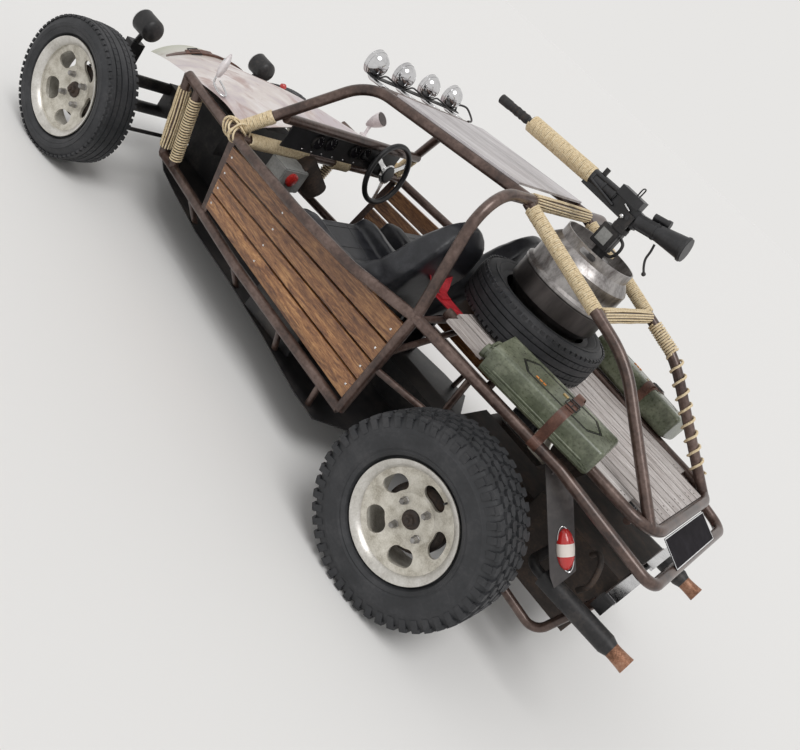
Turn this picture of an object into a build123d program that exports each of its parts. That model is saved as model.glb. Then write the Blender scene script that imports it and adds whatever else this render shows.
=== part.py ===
from build123d import *
import math
import os

os.makedirs("parts", exist_ok=True)

# Stations are measured forward of the rear axle; save() moves them to the shared frame.
rear_axle_x = -965.0
wheelbase = 2400.0

# Tube sizes
tube_radius = 21.0
rope_diameter = 7.0
rope_radius = tube_radius + rope_diameter
corner_bend = 70.0
hoop_bend = 175.0
stay_bend = 500.0
fit_gap = 0.5
seat_gap = 0.3

# Rear wheel
rear_tyre_radius = 360.0
rear_tyre_width = 232.0
rear_rim_width = 196.0
rear_rim_face_y = 813.0
rear_dish_depth = 55.0
rear_shoulder = 24.0

# Front wheel
front_tyre_radius = 300.0
front_tyre_width = 178.0
front_rim_width = 152.0
front_rim_face_y = 707.0
front_dish_depth = 62.0
front_shoulder = 32.0

# Sizes common to the four rims
flange_radius = 207.6
bead_radius = 190.0
barrel_radius = 178.0
dish_wall = 9.0
hub_bore_radius = 34.0
slot_circle = 128.0
slot_width = 58.0
slot_length = 96.0
slot_count = 5
rear_first_slot = 24.0
front_first_slot = 38.0
stud_circle_radius = 65.0
stud_count = 4
rear_first_stud = 27.0
front_first_stud = 45.0
stud_hole_radius = 7.5
tread_crown = 7.0
bead_wall = 10.0

# Side frames
rail_half_width = 640.0
junction_x = 515.0
junction_z = 775.0
junction_half_width = 600.0
lower_rail_z = 315.0
lower_rail_points = (
    # station, half width, height
    (1890.0, 455.0, 330.0),
    (1280.0, 545.0, 319.0),
    (junction_x, junction_half_width, lower_rail_z),
)
upper_rail_points = (
    # station, half width, height
    (1905.0, 545.0, 700.0),
    (1490.0, 605.0, 704.0),
    (1130.0, rail_half_width, 718.0),
    (820.0, 628.0, 730.0),
    (junction_x, junction_half_width, junction_z),
)
upright_step = 95.0
upright_taper = 12.0
post_radius_small = 13.0
bar_foot_half_width = 500.0
bar_foot_z = 324.0
bar_head_half_width = 591.0
bar_head_z = 703.0
pan_hangers = (
    # station, half width at the rail
    (640.0, 594.0),
    (930.0, 571.0),
    (1290.0, 544.0),
    (1690.0, 484.0),
)
bar_x = 1590.0
bar_depth = 34.0
bar_thickness = 6.0

# Screen frame and roof
node_x = 1620.0
node_half_width = 590.0
node_z = 705.0
brow_x = 1345.0
brow_turn_x = 1380.0
brow_half_width = 352.0
brow_z = 1165.0
roof_rear_half_width = 300.0
pillar_bend = 190.0
roof_cross_setback = 12.0
dash_z = 872.0
dash_setback = 20.0
dash_share = (dash_z - node_z) / (brow_z - node_z)
dash_x = node_x + dash_share * (brow_turn_x - node_x) - dash_setback
dash_half_width = node_half_width + dash_share * (brow_half_width + 8.0 - node_half_width) - 15.0
lower_cross_x = 1580.0
lower_cross_z = 705.0
panel_front_x = 1262.0
panel_rear_x = 668.0
panel_thickness = 9.0
panel_front_half_width = 352.0
panel_rear_half_width = 306.0

# Main hoop and rear cage
hoop_foot_x = 518.0
hoop_half_width = 596.0
hoop_top_x = 604.0
hoop_top_z = 1268.0
stay_top_half_width = 293.0
stay_top_z = 1257.0
stay_knee_x = -39.0
stay_knee_half_width = 299.0
stay_knee_z = 1118.0
stay_foot_x = -494.0
stay_foot_half_width = 352.0
cage_cross_x = 140.0
deck_z = 805.0
brace_radius = 13.0
junction_cross_drop = 11.0
cross_brace_foot_z = 606.0
cross_brace_head_z = 742.0
rear_brace_foot_z = 530.0
rear_brace_x = 235.0
rear_brace_half_width = 530.0
rear_brace_z = 552.0
rear_brace_head_half_width = 566.0

# Rear rails and deck
bumper_x = -637.0
bumper_half_width = 476.0
bumper_z = 722.0
rail_mid_x = -180.0
rail_mid_half_width = 520.0
rail_mid_z = 772.0
rail_bend = 66.0
deck_front_x = 515.0
deck_rear_x = -520.0
deck_half_width = 417.0
deck_rear_half_width = 393.0
deck_bend = 120.0
board_count = 10
board_gap = 8.0
board_thickness = 18.0
board_inset = 28.0
outer_board_inset = 115.0
deck_cross_stations = (330.0, 0.0, -430.0)
cross_radius = 14.0

# Floor and bonnet
floor_z = 200.0
floor_thickness = 4.0
floor_front_x = 2320.0
floor_outline = (
    # station, half width
    (373.0, 300.0),
    (470.0, 420.0),
    (572.0, 606.0),
    (718.0, 592.0),
    (1009.0, 520.0),
    (1285.0, 470.0),
    (1627.0, 427.0),
    (1879.0, 364.0),
    (2062.0, 308.0),
    (floor_front_x, 149.0),
)
tunnel_front_x = 2230.0
tunnel_half_width = 70.0
tunnel_height = 150.0
hanger_inset = 30.0
bonnet_skin = 3.0
bonnet_sections = (
    # station, half width, edge height, crown height
    (1600.0, 572.0, 728.0, 832.0),
    (1900.0, 546.0, 724.0, 774.0),
    (2200.0, 416.0, 632.0, 706.0),
    (2420.0, 303.0, 557.0, 640.0),
    (2570.0, 224.0, 500.0, 592.0),
    (2650.0, 140.0, 466.0, 512.0),
)
strap_rear_x = 2403.0
strap_front_x = 2437.0
strap_thickness = 5.0

# Side slats
slat_count = 4
slat_thickness = 14.0
slat_gap = 10.0
slat_front_x = bar_x - bar_depth / 2 - seat_gap
slat_front_top = 664.0
slat_front_low = 372.0
slat_front_top_y = 589.0
slat_front_low_y = 527.0
slat_rear_x = junction_x + tube_radius + seat_gap
slat_rear_top = 722.0
slat_rear_low = 352.0
slat_rear_y = 598.0

# Steering and front suspension
kingpin_half_width = 482.0
kingpin_radius = 19.0
kingpin_length = 88.0
tie_half_width = kingpin_half_width
arm_drop = 30.0
tie_pin_radius = 6.0
tie_clearance = 0.1
stub_radius = 15.0
stub_clearance = 0.05
drum_depth = 45.0
front_drum_radius = 115.0
rear_drum_radius = 122.0
running_gap = 6.0
column_clearance = 0.05
beam_x_offset = 128.0
beam_tube_radius = 28.0
beam_half_length = 400.0
beam_rise = 62.0
tower_inner_half = 330.0
tower_thickness = 22.0
tower_half_depth = 22.0
tower_top_rise = 190.0
tower_foot_drop = 100.0
head_rise = 92.0
arm_length = 110.0

# Bucket seats
seat_y = 300.0
seat_half_width = 225.0
seat_rim = 48.0
seat_arch_z = 780.0
seat_top_z = 1068.0
seat_bottom_z = 500.0
seat_outer = (
    # station, height
    (800.0, 500.0),
    (716.0, 709.0),
    (682.0, 850.0),
    (664.0, 990.0),
    (686.0, 1068.0),
    (738.0, 1068.0),
    (750.0, 985.0),
    (780.0, 850.0),
    (806.0, 780.0),
    (850.0, 738.0),
    (905.0, 711.0),
    (1000.0, 700.0),
    (1150.0, 708.0),
    (1204.0, 698.0),
    (1224.0, 650.0),
    (1216.0, 560.0),
    (1120.0, 520.0),
)
seat_well = (
    # station, height
    (716.0, 1120.0),
    (714.0, 1000.0),
    (732.0, 850.0),
    (762.0, 740.0),
    (800.0, 664.0),
    (870.0, 634.0),
    (1010.0, 618.0),
    (1120.0, 636.0),
    (1240.0, 654.0),
)
seat_rail_rear_x = 880.0
seat_rail_front_x = 1180.0
seat_rail_spread = 170.0
seat_rail_half = 14.0

# Front tank
tank_rear_x = 1960.0
tank_front_x = 2330.0
tank_half_width = 210.0
tank_top_z = 580.0

# Steering wheel and column
steer_x = 1448.0
steer_y = -250.0
steer_z = 782.0
column_slope = 10.0
column_radius = 20.0
shaft_radius = 12.0
ring_radius = 141.0
grip_radius = 12.5

# Power unit
engine_front_x = -150.0
engine_rear_x = -551.7
engine_half_width = 250.0
engine_bottom_z = 255.0
engine_top_z = 560.0
torsion_tube_radius = 42.0
torsion_x = 330.0

# Exhausts and tail panels
exhaust_y = 450.0
exhaust_front_x = -385.0
exhaust_rear_x = -676.0
exhaust_front_z = 445.0
exhaust_rise = 0.06
silencer_radius = 37.0
tip_radius = 27.0
tip_rear_x = -768.0
port_x = -320.0
port_radius = 19.0
panel_corner = (-170.0, 500.0, 703.0)
panel_across = (-0.8435, -0.5371, 0.0)
panel_down = (-0.738, 0.0, -0.675)
panel_thickness_small = 4.0
panel_outline = (
    # distance across, distance down
    (0.0, -48.0),
    (118.0, -48.0),
    (118.0, 235.0),
    (88.0, 270.0),
    (16.0, 350.0),
    (0.0, 318.0),
)
panel_hanger_radius = 8.0
lamp_across = 74.0
lamp_down = 188.0
lamp_length = 140.0
lamp_width = 64.0
lamp_height = 26.0

# Number plate
plate_width = 520.0
plate_height = 111.0
plate_thickness = 2.0
plate_lean = 22.0
plate_reach = plate_height / 2 - 1.0

# Dressing on the deck
keg_x = 380.0
keg_foot_radius = 165.0
keg_radius = 187.0
keg_band_radius = 197.0
keg_hoop_radius = 200.0
keg_rim_radius = 155.0
keg_band_low_z = 998.0
keg_band_high_z = 1074.0
keg_waist_z = 955.0
keg_seam_z = 1190.0
keg_rim_foot_z = 1222.0
keg_top_z = 1267.0
keg_wall = 5.0
keg_top_drop = 34.0
keg_slot_length = 70.0
keg_slot_height = 22.0
keg_slot_angle = 98.0
post_radius = 26.0
spare_x = 385.0
spare_radius = 298.0
spare_hole = 190.5
spare_width = 166.0
can_x = 5.0
can_y = 475.0
can_length = 490.0
can_width = 174.0
can_height = 112.0
can_corner = 26.0
can_yaw = 8.0
can_roll = 8.7
spout_radius = 21.0
handle_radius = 7.0

# Mock gun
pivot_z = 1415.0
yoke_drop = 56.0
yoke_inner_half = 24.0
yoke_cheek = 7.0
pin_radius = 8.0
pin_clearance = 0.05
spigot_radius = 12.0
spigot_height = 14.0
muzzle_reach = 715.0
barrel_radius_small = 14.5
sleeve_front_reach = 545.0
sleeve_rear_reach = 210.0
sleeve_radius = 30.0
receiver_half_width = 17.0

# Lamps and mirrors
headlamp_x = 2500.0
headlamp_y = 380.0
headlamp_z = 640.0
headlamp_radius = 53.0
roof_lamp_x = 1451.0
roof_lamp_z = 1223.0
roof_lamp_radius = 50.0
roof_lamp_spread = (300.0, 100.0, -100.0, -300.0)
mirror_x = 1872.0
mirror_y = 554.0
mirror_z = 828.0
mirror_radius = 36.0
mirror_length = 84.0
mirror_turn = 144.0


def mirrored(x, half_width, z, side):
    return (x, side * half_width, z)


def bent_tube(points, bend=corner_bend, radius=tube_radius):
    """A round tube swept along straight runs joined by bends."""
    if len(points) > 2:
        path = FilletPolyline(*points, radius=bend)
    else:
        path = Line(*points)
    start = path @ 0
    ring = Plane(origin=start, z_dir=path % 0) * Circle(radius)
    return sweep(ring, path=path)


def rod(start, end, radius):
    return bent_tube([start, end], radius=radius)


def joined(pieces):
    body = pieces[0]
    for piece in pieces[1:]:
        body = body + piece
    return body


def largest(shape):
    """The biggest solid of a shape that a cut may have left in pieces."""
    return sorted(shape.solids(), key=lambda piece: piece.volume)[-1]


def box_between(low, high):
    size = [high[i] - low[i] for i in range(3)]
    middle = [(high[i] + low[i]) / 2 for i in range(3)]
    return Pos(*middle) * Box(*size)


def drum(centre, radius, length, axis):
    """A plain cylinder centred on a point, along a named axis."""
    turn = {"x": Rot(0, 90, 0), "y": Rot(90, 0, 0), "z": Rot(0, 0, 0)}[axis]
    return Pos(*centre) * turn * Cylinder(radius, length)


# Wheels
def rim_profile(width, dish_depth):
    """Half section of barrel, flanges and dish, drawn outward from the outer flange."""
    lip = 12.0
    outline = [
        (hub_bore_radius, dish_depth),
        (stud_circle_radius + 22.0, dish_depth),
        (slot_circle + 22.0, dish_depth - 24.0),
        (barrel_radius, dish_depth - 30.0),
        (barrel_radius + 6.0, lip),
        (flange_radius, 0.0),
        (flange_radius, 5.0),
        (bead_radius, lip + 4.0),
        (bead_radius, width - lip - 4.0),
        (flange_radius, width - 5.0),
        (flange_radius, width),
        (barrel_radius + 6.0, width - lip),
        (barrel_radius, dish_depth + 8.0),
        (slot_circle + 22.0, dish_depth - 24.0 + dish_wall),
        (stud_circle_radius + 22.0, dish_depth + dish_wall + 4.0),
        (hub_bore_radius, dish_depth + dish_wall + 4.0),
    ]
    return make_face(Polyline(*outline, close=True))


def rim(width, dish_depth, first_slot, first_stud):
    """A rim on the Z axis with its outer face at Z = 0 and its depth along +Z."""
    section = Plane.XZ * rim_profile(width, dish_depth)
    body = revolve(section, axis=Axis.Z)
    spread = math.degrees((slot_length - slot_width) / slot_circle)
    for number in range(slot_count):
        start = first_slot + number * 360.0 / slot_count - spread / 2
        window = SlotArc(CenterArc((0, 0), slot_circle, start, spread), slot_width)
        body = body - extrude(window, amount=dish_depth + 2 * dish_wall)
    for number in range(stud_count):
        angle = first_stud + number * 360.0 / stud_count
        place = Rot(0, 0, angle) * Pos(stud_circle_radius, 0, dish_depth)
        body = body - place * Cylinder(stud_hole_radius, 6 * dish_wall)
    return body


def tyre_half(radius, width, rim_width, shoulder):
    """Points of one half of a tyre's section, from its bead round the shoulder to the crown."""
    half = width / 2
    seat = rim_width / 2 - 17.0
    inner = bead_radius + fit_gap
    points = [
        (inner, seat - bead_wall),
        (inner, seat),
        (inner + 24.0, seat),
        (flange_radius + 22.0, half - 6.0),
        (flange_radius + 48.0, half),
    ]
    for step in range(5):
        turn = math.radians(22.5 * step)
        reach = radius - tread_crown - shoulder + shoulder * math.sin(turn)
        points.append((reach, half - shoulder + shoulder * math.cos(turn)))
    points.append((radius, half - shoulder * 2.0))
    return points


def tyre(radius, width, rim_width, shoulder):
    """A tyre on the Z axis, centred on Z = 0, seated on the bead of its rim."""
    upper = tyre_half(radius, width, rim_width, shoulder)
    lower = [(reach, -rise) for reach, rise in reversed(upper)]
    belt = radius - 26.0
    inside = [(belt, -width / 2 + 26.0), (belt, width / 2 - 26.0)]
    outline = upper + lower + inside
    return revolve(Plane.XZ * make_face(Polyline(*outline, close=True)), axis=Axis.Z)


def hub_face_y(front):
    """Where the back of a rim's dish seats on its drum."""
    if front:
        return front_rim_face_y - front_dish_depth - dish_wall - 4.0
    return rear_rim_face_y - rear_dish_depth - dish_wall - 4.0


def brake_drum(radius):
    """A drum on the Z axis, its seat at Z = 0 and its open side along +Z, bored for the stub pin."""
    outline = [
        (stub_radius + stub_clearance, 0.0), (radius - 14.0, 0.0), (radius, 12.0), (radius, drum_depth),
        (radius - 10.0, drum_depth), (radius - 10.0, 16.0), (38.0, 16.0), (38.0, drum_depth - 6.0),
        (stub_radius + stub_clearance, drum_depth - 6.0),
    ]
    return revolve(Plane.XZ * make_face(Polyline(*outline, close=True)), axis=Axis.Z)


def wheel_place(x, face_y, z, side):
    """Turns a wheel drawn along +Z so that its outer face looks outward at face_y."""
    return Pos(x, side * face_y, z) * Rot(90 * side, 0, 0)


def wheel_pair(front, side):
    """The rim, tyre and brake drum of one corner."""
    if front:
        x, z, face_y = wheelbase, front_tyre_radius, front_rim_face_y
        rim_width, dish = front_rim_width, front_dish_depth
        first_slot, first_stud = front_first_slot, front_first_stud
        tyre_width, radius, shoulder = front_tyre_width, front_tyre_radius, front_shoulder
    else:
        x, z, face_y = 0.0, rear_tyre_radius, rear_rim_face_y
        rim_width, dish = rear_rim_width, rear_dish_depth
        first_slot, first_stud = rear_first_slot, rear_first_stud
        tyre_width, radius, shoulder = rear_tyre_width, rear_tyre_radius, rear_shoulder
    place = wheel_place(x, face_y, z, side)
    wheel_rim = place * rim(rim_width, dish, first_slot, first_stud)
    wheel_tyre = place * Pos(0, 0, rim_width / 2) * tyre(radius, tyre_width, rim_width, shoulder)
    drum_radius = front_drum_radius if front else rear_drum_radius
    wheel_drum = wheel_place(x, hub_face_y(front), z, side) * brake_drum(drum_radius)
    return wheel_rim, wheel_tyre, wheel_drum


# Frame
def pan_half_width(x):
    """Half the floor pan's width at a station."""
    for near, far in zip(floor_outline, floor_outline[1:]):
        if near[0] <= x <= far[0]:
            share = (x - near[0]) / (far[0] - near[0])
            return near[1] + share * (far[1] - near[1])


def side_frame(side):
    """Lower and upper rails with the posts between them, welded up as one piece."""
    lower = [mirrored(*point, side) for point in lower_rail_points]
    upper = [mirrored(*point, side) for point in upper_rail_points]
    post = [lower[-1], upper[-1]]
    upright = [lower[0], upper[0]]
    second = [(p[0] + upright_step, p[1] - side * upright_taper, p[2]) for p in upright]
    pieces = [bent_tube(lower, bend=300.0), bent_tube(upper, bend=500.0)]
    pieces += [bent_tube(post), bent_tube(upright), bent_tube(second)]
    pieces += [bent_tube([upright[0], second[0]]), bent_tube([upright[1], second[1]])]
    spread, rise = bar_head_half_width - bar_foot_half_width, bar_head_z - bar_foot_z
    lean = math.degrees(math.atan2(spread, rise))
    middle_y, middle_z = (bar_head_half_width + bar_foot_half_width) / 2, (bar_head_z + bar_foot_z) / 2
    bar = Box(bar_depth, bar_thickness, math.hypot(spread, rise))
    pieces.append(Pos(bar_x, side * middle_y, middle_z) * Rot(-side * lean, 0, 0) * bar)
    foot_z = floor_z + floor_thickness + seat_gap
    for x, rail_y in pan_hangers:
        pan_y = pan_half_width(x) - hanger_inset
        hanger = rod((x, side * rail_y, lower_rail_z), (x, side * pan_y, floor_z), post_radius_small)
        below = box_between((x - 60.0, -rail_half_width, floor_z - 80.0), (x + 60.0, rail_half_width, foot_z))
        pieces.append(hanger - below)
    return joined(pieces)


def screen_frame():
    """Pillars that turn over into the roof rails, with the cross tubes between them."""
    pieces = []
    for side in (1, -1):
        pillar = [
            mirrored(node_x, node_half_width, node_z, side),
            mirrored(brow_turn_x, brow_half_width + 8.0, brow_z, side),
            mirrored(hoop_top_x, roof_rear_half_width, hoop_top_z, side),
        ]
        pieces.append(bent_tube(pillar, bend=pillar_bend))
    pieces.append(cross_tube(dash_x, dash_half_width, dash_z))
    pieces.append(cross_tube(brow_x - roof_cross_setback, brow_half_width - 12.0, brow_z + 4.0))
    pieces.append(cross_tube(lower_cross_x, node_half_width, lower_cross_z))
    return joined(pieces)


def cross_tube(x, half_width, z, radius=tube_radius):
    return rod((x, half_width, z), (x, -half_width, z), radius)


def main_hoop():
    """The roll hoop, the cross tube between its feet and the braces below it."""
    path = [
        (hoop_foot_x, hoop_half_width, junction_z),
        (hoop_top_x, hoop_half_width, hoop_top_z),
        (hoop_top_x, -hoop_half_width, hoop_top_z),
        (hoop_foot_x, -hoop_half_width, junction_z),
    ]
    pieces = [bent_tube(path, bend=hoop_bend)]
    pieces.append(cross_tube(hoop_foot_x, hoop_half_width, junction_z - junction_cross_drop, radius=brace_radius))
    return joined(pieces + lower_braces())


def lower_braces():
    """Thin tubes from each rear post: one up to the middle of the cross tube, one back and up to the rail."""
    pieces = []
    for side in (1, -1):
        foot = mirrored(junction_x, junction_half_width, cross_brace_foot_z, side)
        pieces.append(rod(foot, (hoop_foot_x, 0, cross_brace_head_z + brace_radius), brace_radius))
        foot = mirrored(junction_x, junction_half_width, rear_brace_foot_z, side)
        rear = mirrored(rear_brace_x, rear_brace_half_width, rear_brace_z, side)
        head = mirrored(rear_brace_x, rear_brace_head_half_width, junction_z, side)
        pieces.append(rod(foot, rear, brace_radius))
        pieces.append(rod(rear, head, brace_radius) + Pos(*rear) * Sphere(brace_radius))
    return pieces


def rear_cage():
    """Two stays from the hoop down to the deck, tied by a crossbar ahead of their knees."""
    pieces = []
    for side in (1, -1):
        stay = [
            mirrored(hoop_top_x, stay_top_half_width, stay_top_z, side),
            mirrored(stay_knee_x, stay_knee_half_width, stay_knee_z, side),
            mirrored(stay_foot_x, stay_foot_half_width, deck_z, side),
        ]
        pieces.append(bent_tube(stay, bend=stay_bend))
    pieces.append(cross_tube(cage_cross_x, stay_half_width(cage_cross_x) - 7.0, stay_height(cage_cross_x) - 1.0))
    return joined(pieces)


def stay_share(x):
    return (hoop_top_x - x) / (hoop_top_x - stay_knee_x)


def stay_half_width(x):
    return stay_top_half_width + stay_share(x) * (stay_knee_half_width - stay_top_half_width)


def stay_height(x):
    """Height of a stay's straight upper run at a station."""
    return stay_top_z + stay_share(x) * (stay_knee_z - stay_top_z)


def rear_rails():
    """Outer rails that meet behind the deck as a low bumper loop."""
    path = [
        (junction_x, junction_half_width, junction_z),
        (rail_mid_x, rail_mid_half_width, rail_mid_z),
        (bumper_x, bumper_half_width, bumper_z),
        (bumper_x, -bumper_half_width, bumper_z),
        (rail_mid_x, -rail_mid_half_width, rail_mid_z),
        (junction_x, -junction_half_width, junction_z),
    ]
    return bent_tube(path, bend=rail_bend)


def deck_loop():
    """The tube round the deck, with the cross bars its boards lie on."""
    path = [
        (deck_front_x, deck_half_width, deck_z),
        (deck_rear_x, deck_rear_half_width, deck_z),
        (deck_rear_x, -deck_rear_half_width, deck_z),
        (deck_front_x, -deck_half_width, deck_z),
    ]
    pieces = [bent_tube(path, bend=deck_bend)]
    drop = deck_z - board_thickness / 2 - cross_radius - seat_gap
    for x in deck_cross_stations:
        pieces.append(cross_tube(x, deck_rear_half_width + 8.0, drop, radius=cross_radius))
    return joined(pieces)


def deck_boards():
    """Boards laid fore and aft inside the deck loop."""
    clear = deck_rear_half_width - tube_radius - board_inset + 22.0
    pitch = 2 * clear / board_count
    front = deck_front_x - board_thickness
    rear = deck_rear_x + tube_radius + 1.0
    boards = []
    for number in range(board_count):
        left = -clear + number * pitch + board_gap / 2
        inset = outer_board_inset if number in (0, board_count - 1) else 0.0
        boards.append(box_between((rear + inset, left, deck_z - board_thickness / 2),
                                  (front, left + pitch - board_gap, deck_z + board_thickness / 2)))
    return Compound(children=boards)


def roof_panel():
    """A flat sheet lying on the roof rails."""
    slope = math.atan2(hoop_top_z - brow_z, brow_turn_x - hoop_top_x)
    outline = Polyline(
        (panel_rear_x, panel_rear_half_width), (panel_front_x, panel_front_half_width),
        (panel_front_x, -panel_front_half_width), (panel_rear_x, -panel_rear_half_width), close=True)
    middle_x = (panel_front_x + panel_rear_x) / 2
    sheet = extrude(Pos(-middle_x, 0, 0) * make_face(outline), amount=panel_thickness)
    height = brow_z + (brow_turn_x - middle_x) * math.tan(slope)
    lift = (tube_radius + seat_gap) / math.cos(slope)
    return Pos(middle_x, 0, height + lift) * Rot(0, math.degrees(slope), 0) * sheet


def side_slats():
    """The left side's boards between its rails, from the flat bar to the rear post."""
    boards = []
    for number in range(slat_count):
        front = slat_end(slat_front_x, slat_front_top, slat_front_low, slat_front_top_y, slat_front_low_y, number)
        rear = slat_end(slat_rear_x, slat_rear_top, slat_rear_low, slat_rear_y, slat_rear_y, number)
        boards.append(board_between(front, rear))
    return boards


def slat_end(x, top, low, top_y, low_y, number):
    """The four corners of one slat's end: outer high, outer low, inner low, inner high."""
    rise = (top - low) / slat_count
    high = top - number * rise - (slat_gap / 2 if number else 0.0)
    base = top - (number + 1) * rise + (slat_gap / 2 if number < slat_count - 1 else 0.0)
    corners = []
    for z, inset in ((high, 0.0), (base, 0.0), (base, slat_thickness), (high, slat_thickness)):
        share = (z - low) / (top - low)
        corners.append((x, low_y + share * (top_y - low_y) - inset, z))
    return corners


def board_between(front, rear):
    """A solid with flat faces between two four-cornered ends."""
    faces = [Face(Wire.make_polygon(front)), Face(Wire.make_polygon(rear))]
    for i in range(4):
        j = (i + 1) % 4
        faces.append(Face(Wire.make_polygon([front[i], front[j], rear[j]])))
        faces.append(Face(Wire.make_polygon([front[i], rear[j], rear[i]])))
    return Solid(Shell(faces))


def floor_pan():
    """A pressed pan that narrows to the front, with the tunnel along its middle."""
    left = list(floor_outline)
    right = [(x, -half) for x, half in reversed(floor_outline)]
    sheet = Pos(0, 0, floor_z) * extrude(make_face(Polyline(*(left + right), close=True)), amount=floor_thickness)
    rear = torsion_x + torsion_tube_radius + seat_gap
    outer = box_between((rear, -tunnel_half_width, floor_z),
                        (tunnel_front_x, tunnel_half_width, floor_z + tunnel_height))
    inner_half = tunnel_half_width - floor_thickness
    inner = box_between((rear - 60.0, -inner_half, floor_z - 1.0),
                        (tunnel_front_x - floor_thickness, inner_half, floor_z + tunnel_height - floor_thickness))
    return (sheet + outer) - inner


# Bonnet
def bonnet_loft(inset):
    """A domed solid through the bonnet's sections, drawn in by one thickness."""
    faces = []
    for x, half, edge, crown in bonnet_sections:
        low = (x, half - inset, edge)
        top = (x, 0, crown - inset)
        other = (x, -half + inset, edge)
        arc = ThreePointArc(low, top, other)
        faces.append(make_face([arc, Line(other, low)]))
    return loft(faces)


def bonnet():
    """A thin domed lid, open at the rear and below, closed at its nose."""
    outer = bonnet_loft(0.0)
    nose = bonnet_sections[-1][0]
    cap = box_between((nose - bonnet_skin, -rail_half_width, 0.0), (nose + 10.0, rail_half_width, hoop_top_z))
    inner = bonnet_loft(bonnet_skin) - cap
    return outer - Pos(0, 0, -bonnet_skin * 0.2) * inner


def strap_over_bonnet():
    """A leather band over the nose of the bonnet."""
    band = loft([band_section(x, strap_thickness) for x in (strap_rear_x, strap_front_x)])
    return largest(band - bonnet_loft(-seat_gap))


def bonnet_at(x):
    """Half width, edge and crown heights between the listed sections."""
    for near, far in zip(bonnet_sections, bonnet_sections[1:]):
        if near[0] <= x <= far[0]:
            share = (x - near[0]) / (far[0] - near[0])
            return [near[i] + share * (far[i] - near[i]) for i in (1, 2, 3)]


def band_section(x, lift):
    half, edge, crown = bonnet_at(x)
    low = (x, half + lift, edge - lift)
    top = (x, 0, crown + lift + 6.0)
    other = (x, -half - lift, edge - lift)
    return make_face([ThreePointArc(low, top, other), Line(other, low)])


# Front suspension and steering
def front_beam():
    """Two cross tubes with end towers and the arms that carry the knuckles."""
    x = wheelbase + beam_x_offset
    pieces = []
    for z in (front_tyre_radius - beam_rise, front_tyre_radius + beam_rise):
        pieces.append(rod((x, beam_half_length, z), (x, -beam_half_length, z), beam_tube_radius))
    for side in (1, -1):
        middle = side * (tower_inner_half + tower_thickness / 2)
        height = tower_top_rise + tower_foot_drop
        tower = Box(2 * tower_half_depth, tower_thickness, height)
        pieces.append(Pos(x, middle, front_tyre_radius + (tower_top_rise - tower_foot_drop) / 2) * tower)
        for turn in (1, -1):
            z = front_tyre_radius + turn * beam_rise
            y = side * (beam_half_length + 18.0)
            pieces.append(rod((x, side * (beam_half_length - 10.0), z), (x, side * (beam_half_length + 30.0), z), 24.0))
            pieces.append(box_between((wheelbase - 16.0, y - 11.0, z - 17.0), (x, y + 11.0, z + 17.0)))
            inner, outer = sorted((y, side * (kingpin_half_width - 4.0)))
            pieces.append(box_between((wheelbase - 16.0, inner, z - 17.0), (wheelbase + 16.0, outer, z + 17.0)))
            eye_low = front_tyre_radius + turn * (kingpin_length / 2 + fit_gap)
            eye_high = front_tyre_radius + turn * (beam_rise + 17.0)
            eye = drum((wheelbase, side * kingpin_half_width, (eye_low + eye_high) / 2), 22.0, abs(eye_high - eye_low), "z")
            pieces.append(eye)
    pieces.append(box_between((2230.0, -60.0, front_tyre_radius - 38.0), (x + 10.0, 60.0, front_tyre_radius + head_rise)))
    return joined(pieces)


def knuckle():
    """The left upright: kingpin barrel, stub pin, backing plate and steering arm."""
    x, z = wheelbase, front_tyre_radius
    start = (x, kingpin_half_width, z)
    barrel = drum(start, kingpin_radius, kingpin_length, "z")
    inner_face = hub_face_y(True) - drum_depth
    plate = drum((x, inner_face - running_gap - 4.0, z), front_drum_radius, 8.0, "y")
    shoulder = rod(start, (x, inner_face - running_gap, z), stub_radius + 9.0)
    pin = rod(start, (x, hub_face_y(True) - 8.0, z), stub_radius)
    tip = (x - arm_length, tie_half_width, z - arm_drop)
    arm = rod(start, tip, 11.0)
    ball_pin = drum((tip[0], tip[1], tip[2] - 22.0), tie_pin_radius, 44.0, "z")
    return joined([barrel, plate, shoulder, pin, arm, ball_pin])


def tie_rod():
    x = wheelbase - arm_length
    z = front_tyre_radius - arm_drop - 30.0
    end = tie_half_width
    bar = rod((x, end, z), (x, -end, z), 9.0)
    for side in (1, -1):
        bar = bar + drum((x, side * end, z), 17.0, 20.0, "z")
    for side in (1, -1):
        bar = bar - drum((x, side * end, z), tie_pin_radius + tie_clearance, 40.0, "z")
    return bar


def front_tank():
    """The dark tank and scuttle box under the bonnet."""
    seat_z = front_tyre_radius + head_rise + seat_gap
    return box_between((tank_rear_x, -tank_half_width, seat_z), (tank_front_x, tank_half_width, tank_top_z))


def on_column(reach):
    """A point on the steering axis, measured forward from the middle of the wheel."""
    turn = math.radians(column_slope)
    return (steer_x + reach * math.cos(turn), steer_y, steer_z - reach * math.sin(turn))


def steering_column():
    """The column tube, bored for the wheel's shaft."""
    tube = rod(on_column(40.0), on_column(620.0), column_radius)
    return tube - rod(on_column(0.0), on_column(180.0), shaft_radius + column_clearance)


def steering_wheel():
    """A small rim with three spokes, square to the column."""
    ring = revolve(Pos(ring_radius, 0, 0) * Plane.XZ * Circle(grip_radius), axis=Axis.Z)
    shaft = Pos(0, 0, -85.0) * Cylinder(shaft_radius, 170.0)
    pieces = [ring, Cylinder(30.0, 24.0), shaft]
    for number in range(3):
        spoke = Rot(0, 0, 90 + 120 * number) * Pos(ring_radius / 2, 0, 0) * Box(ring_radius, 26.0, 5.0)
        pieces.append(spoke)
    wheel = joined(pieces)
    return Pos(steer_x, steer_y, steer_z) * Rot(0, column_slope - 90.0, 0) * wheel


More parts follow.
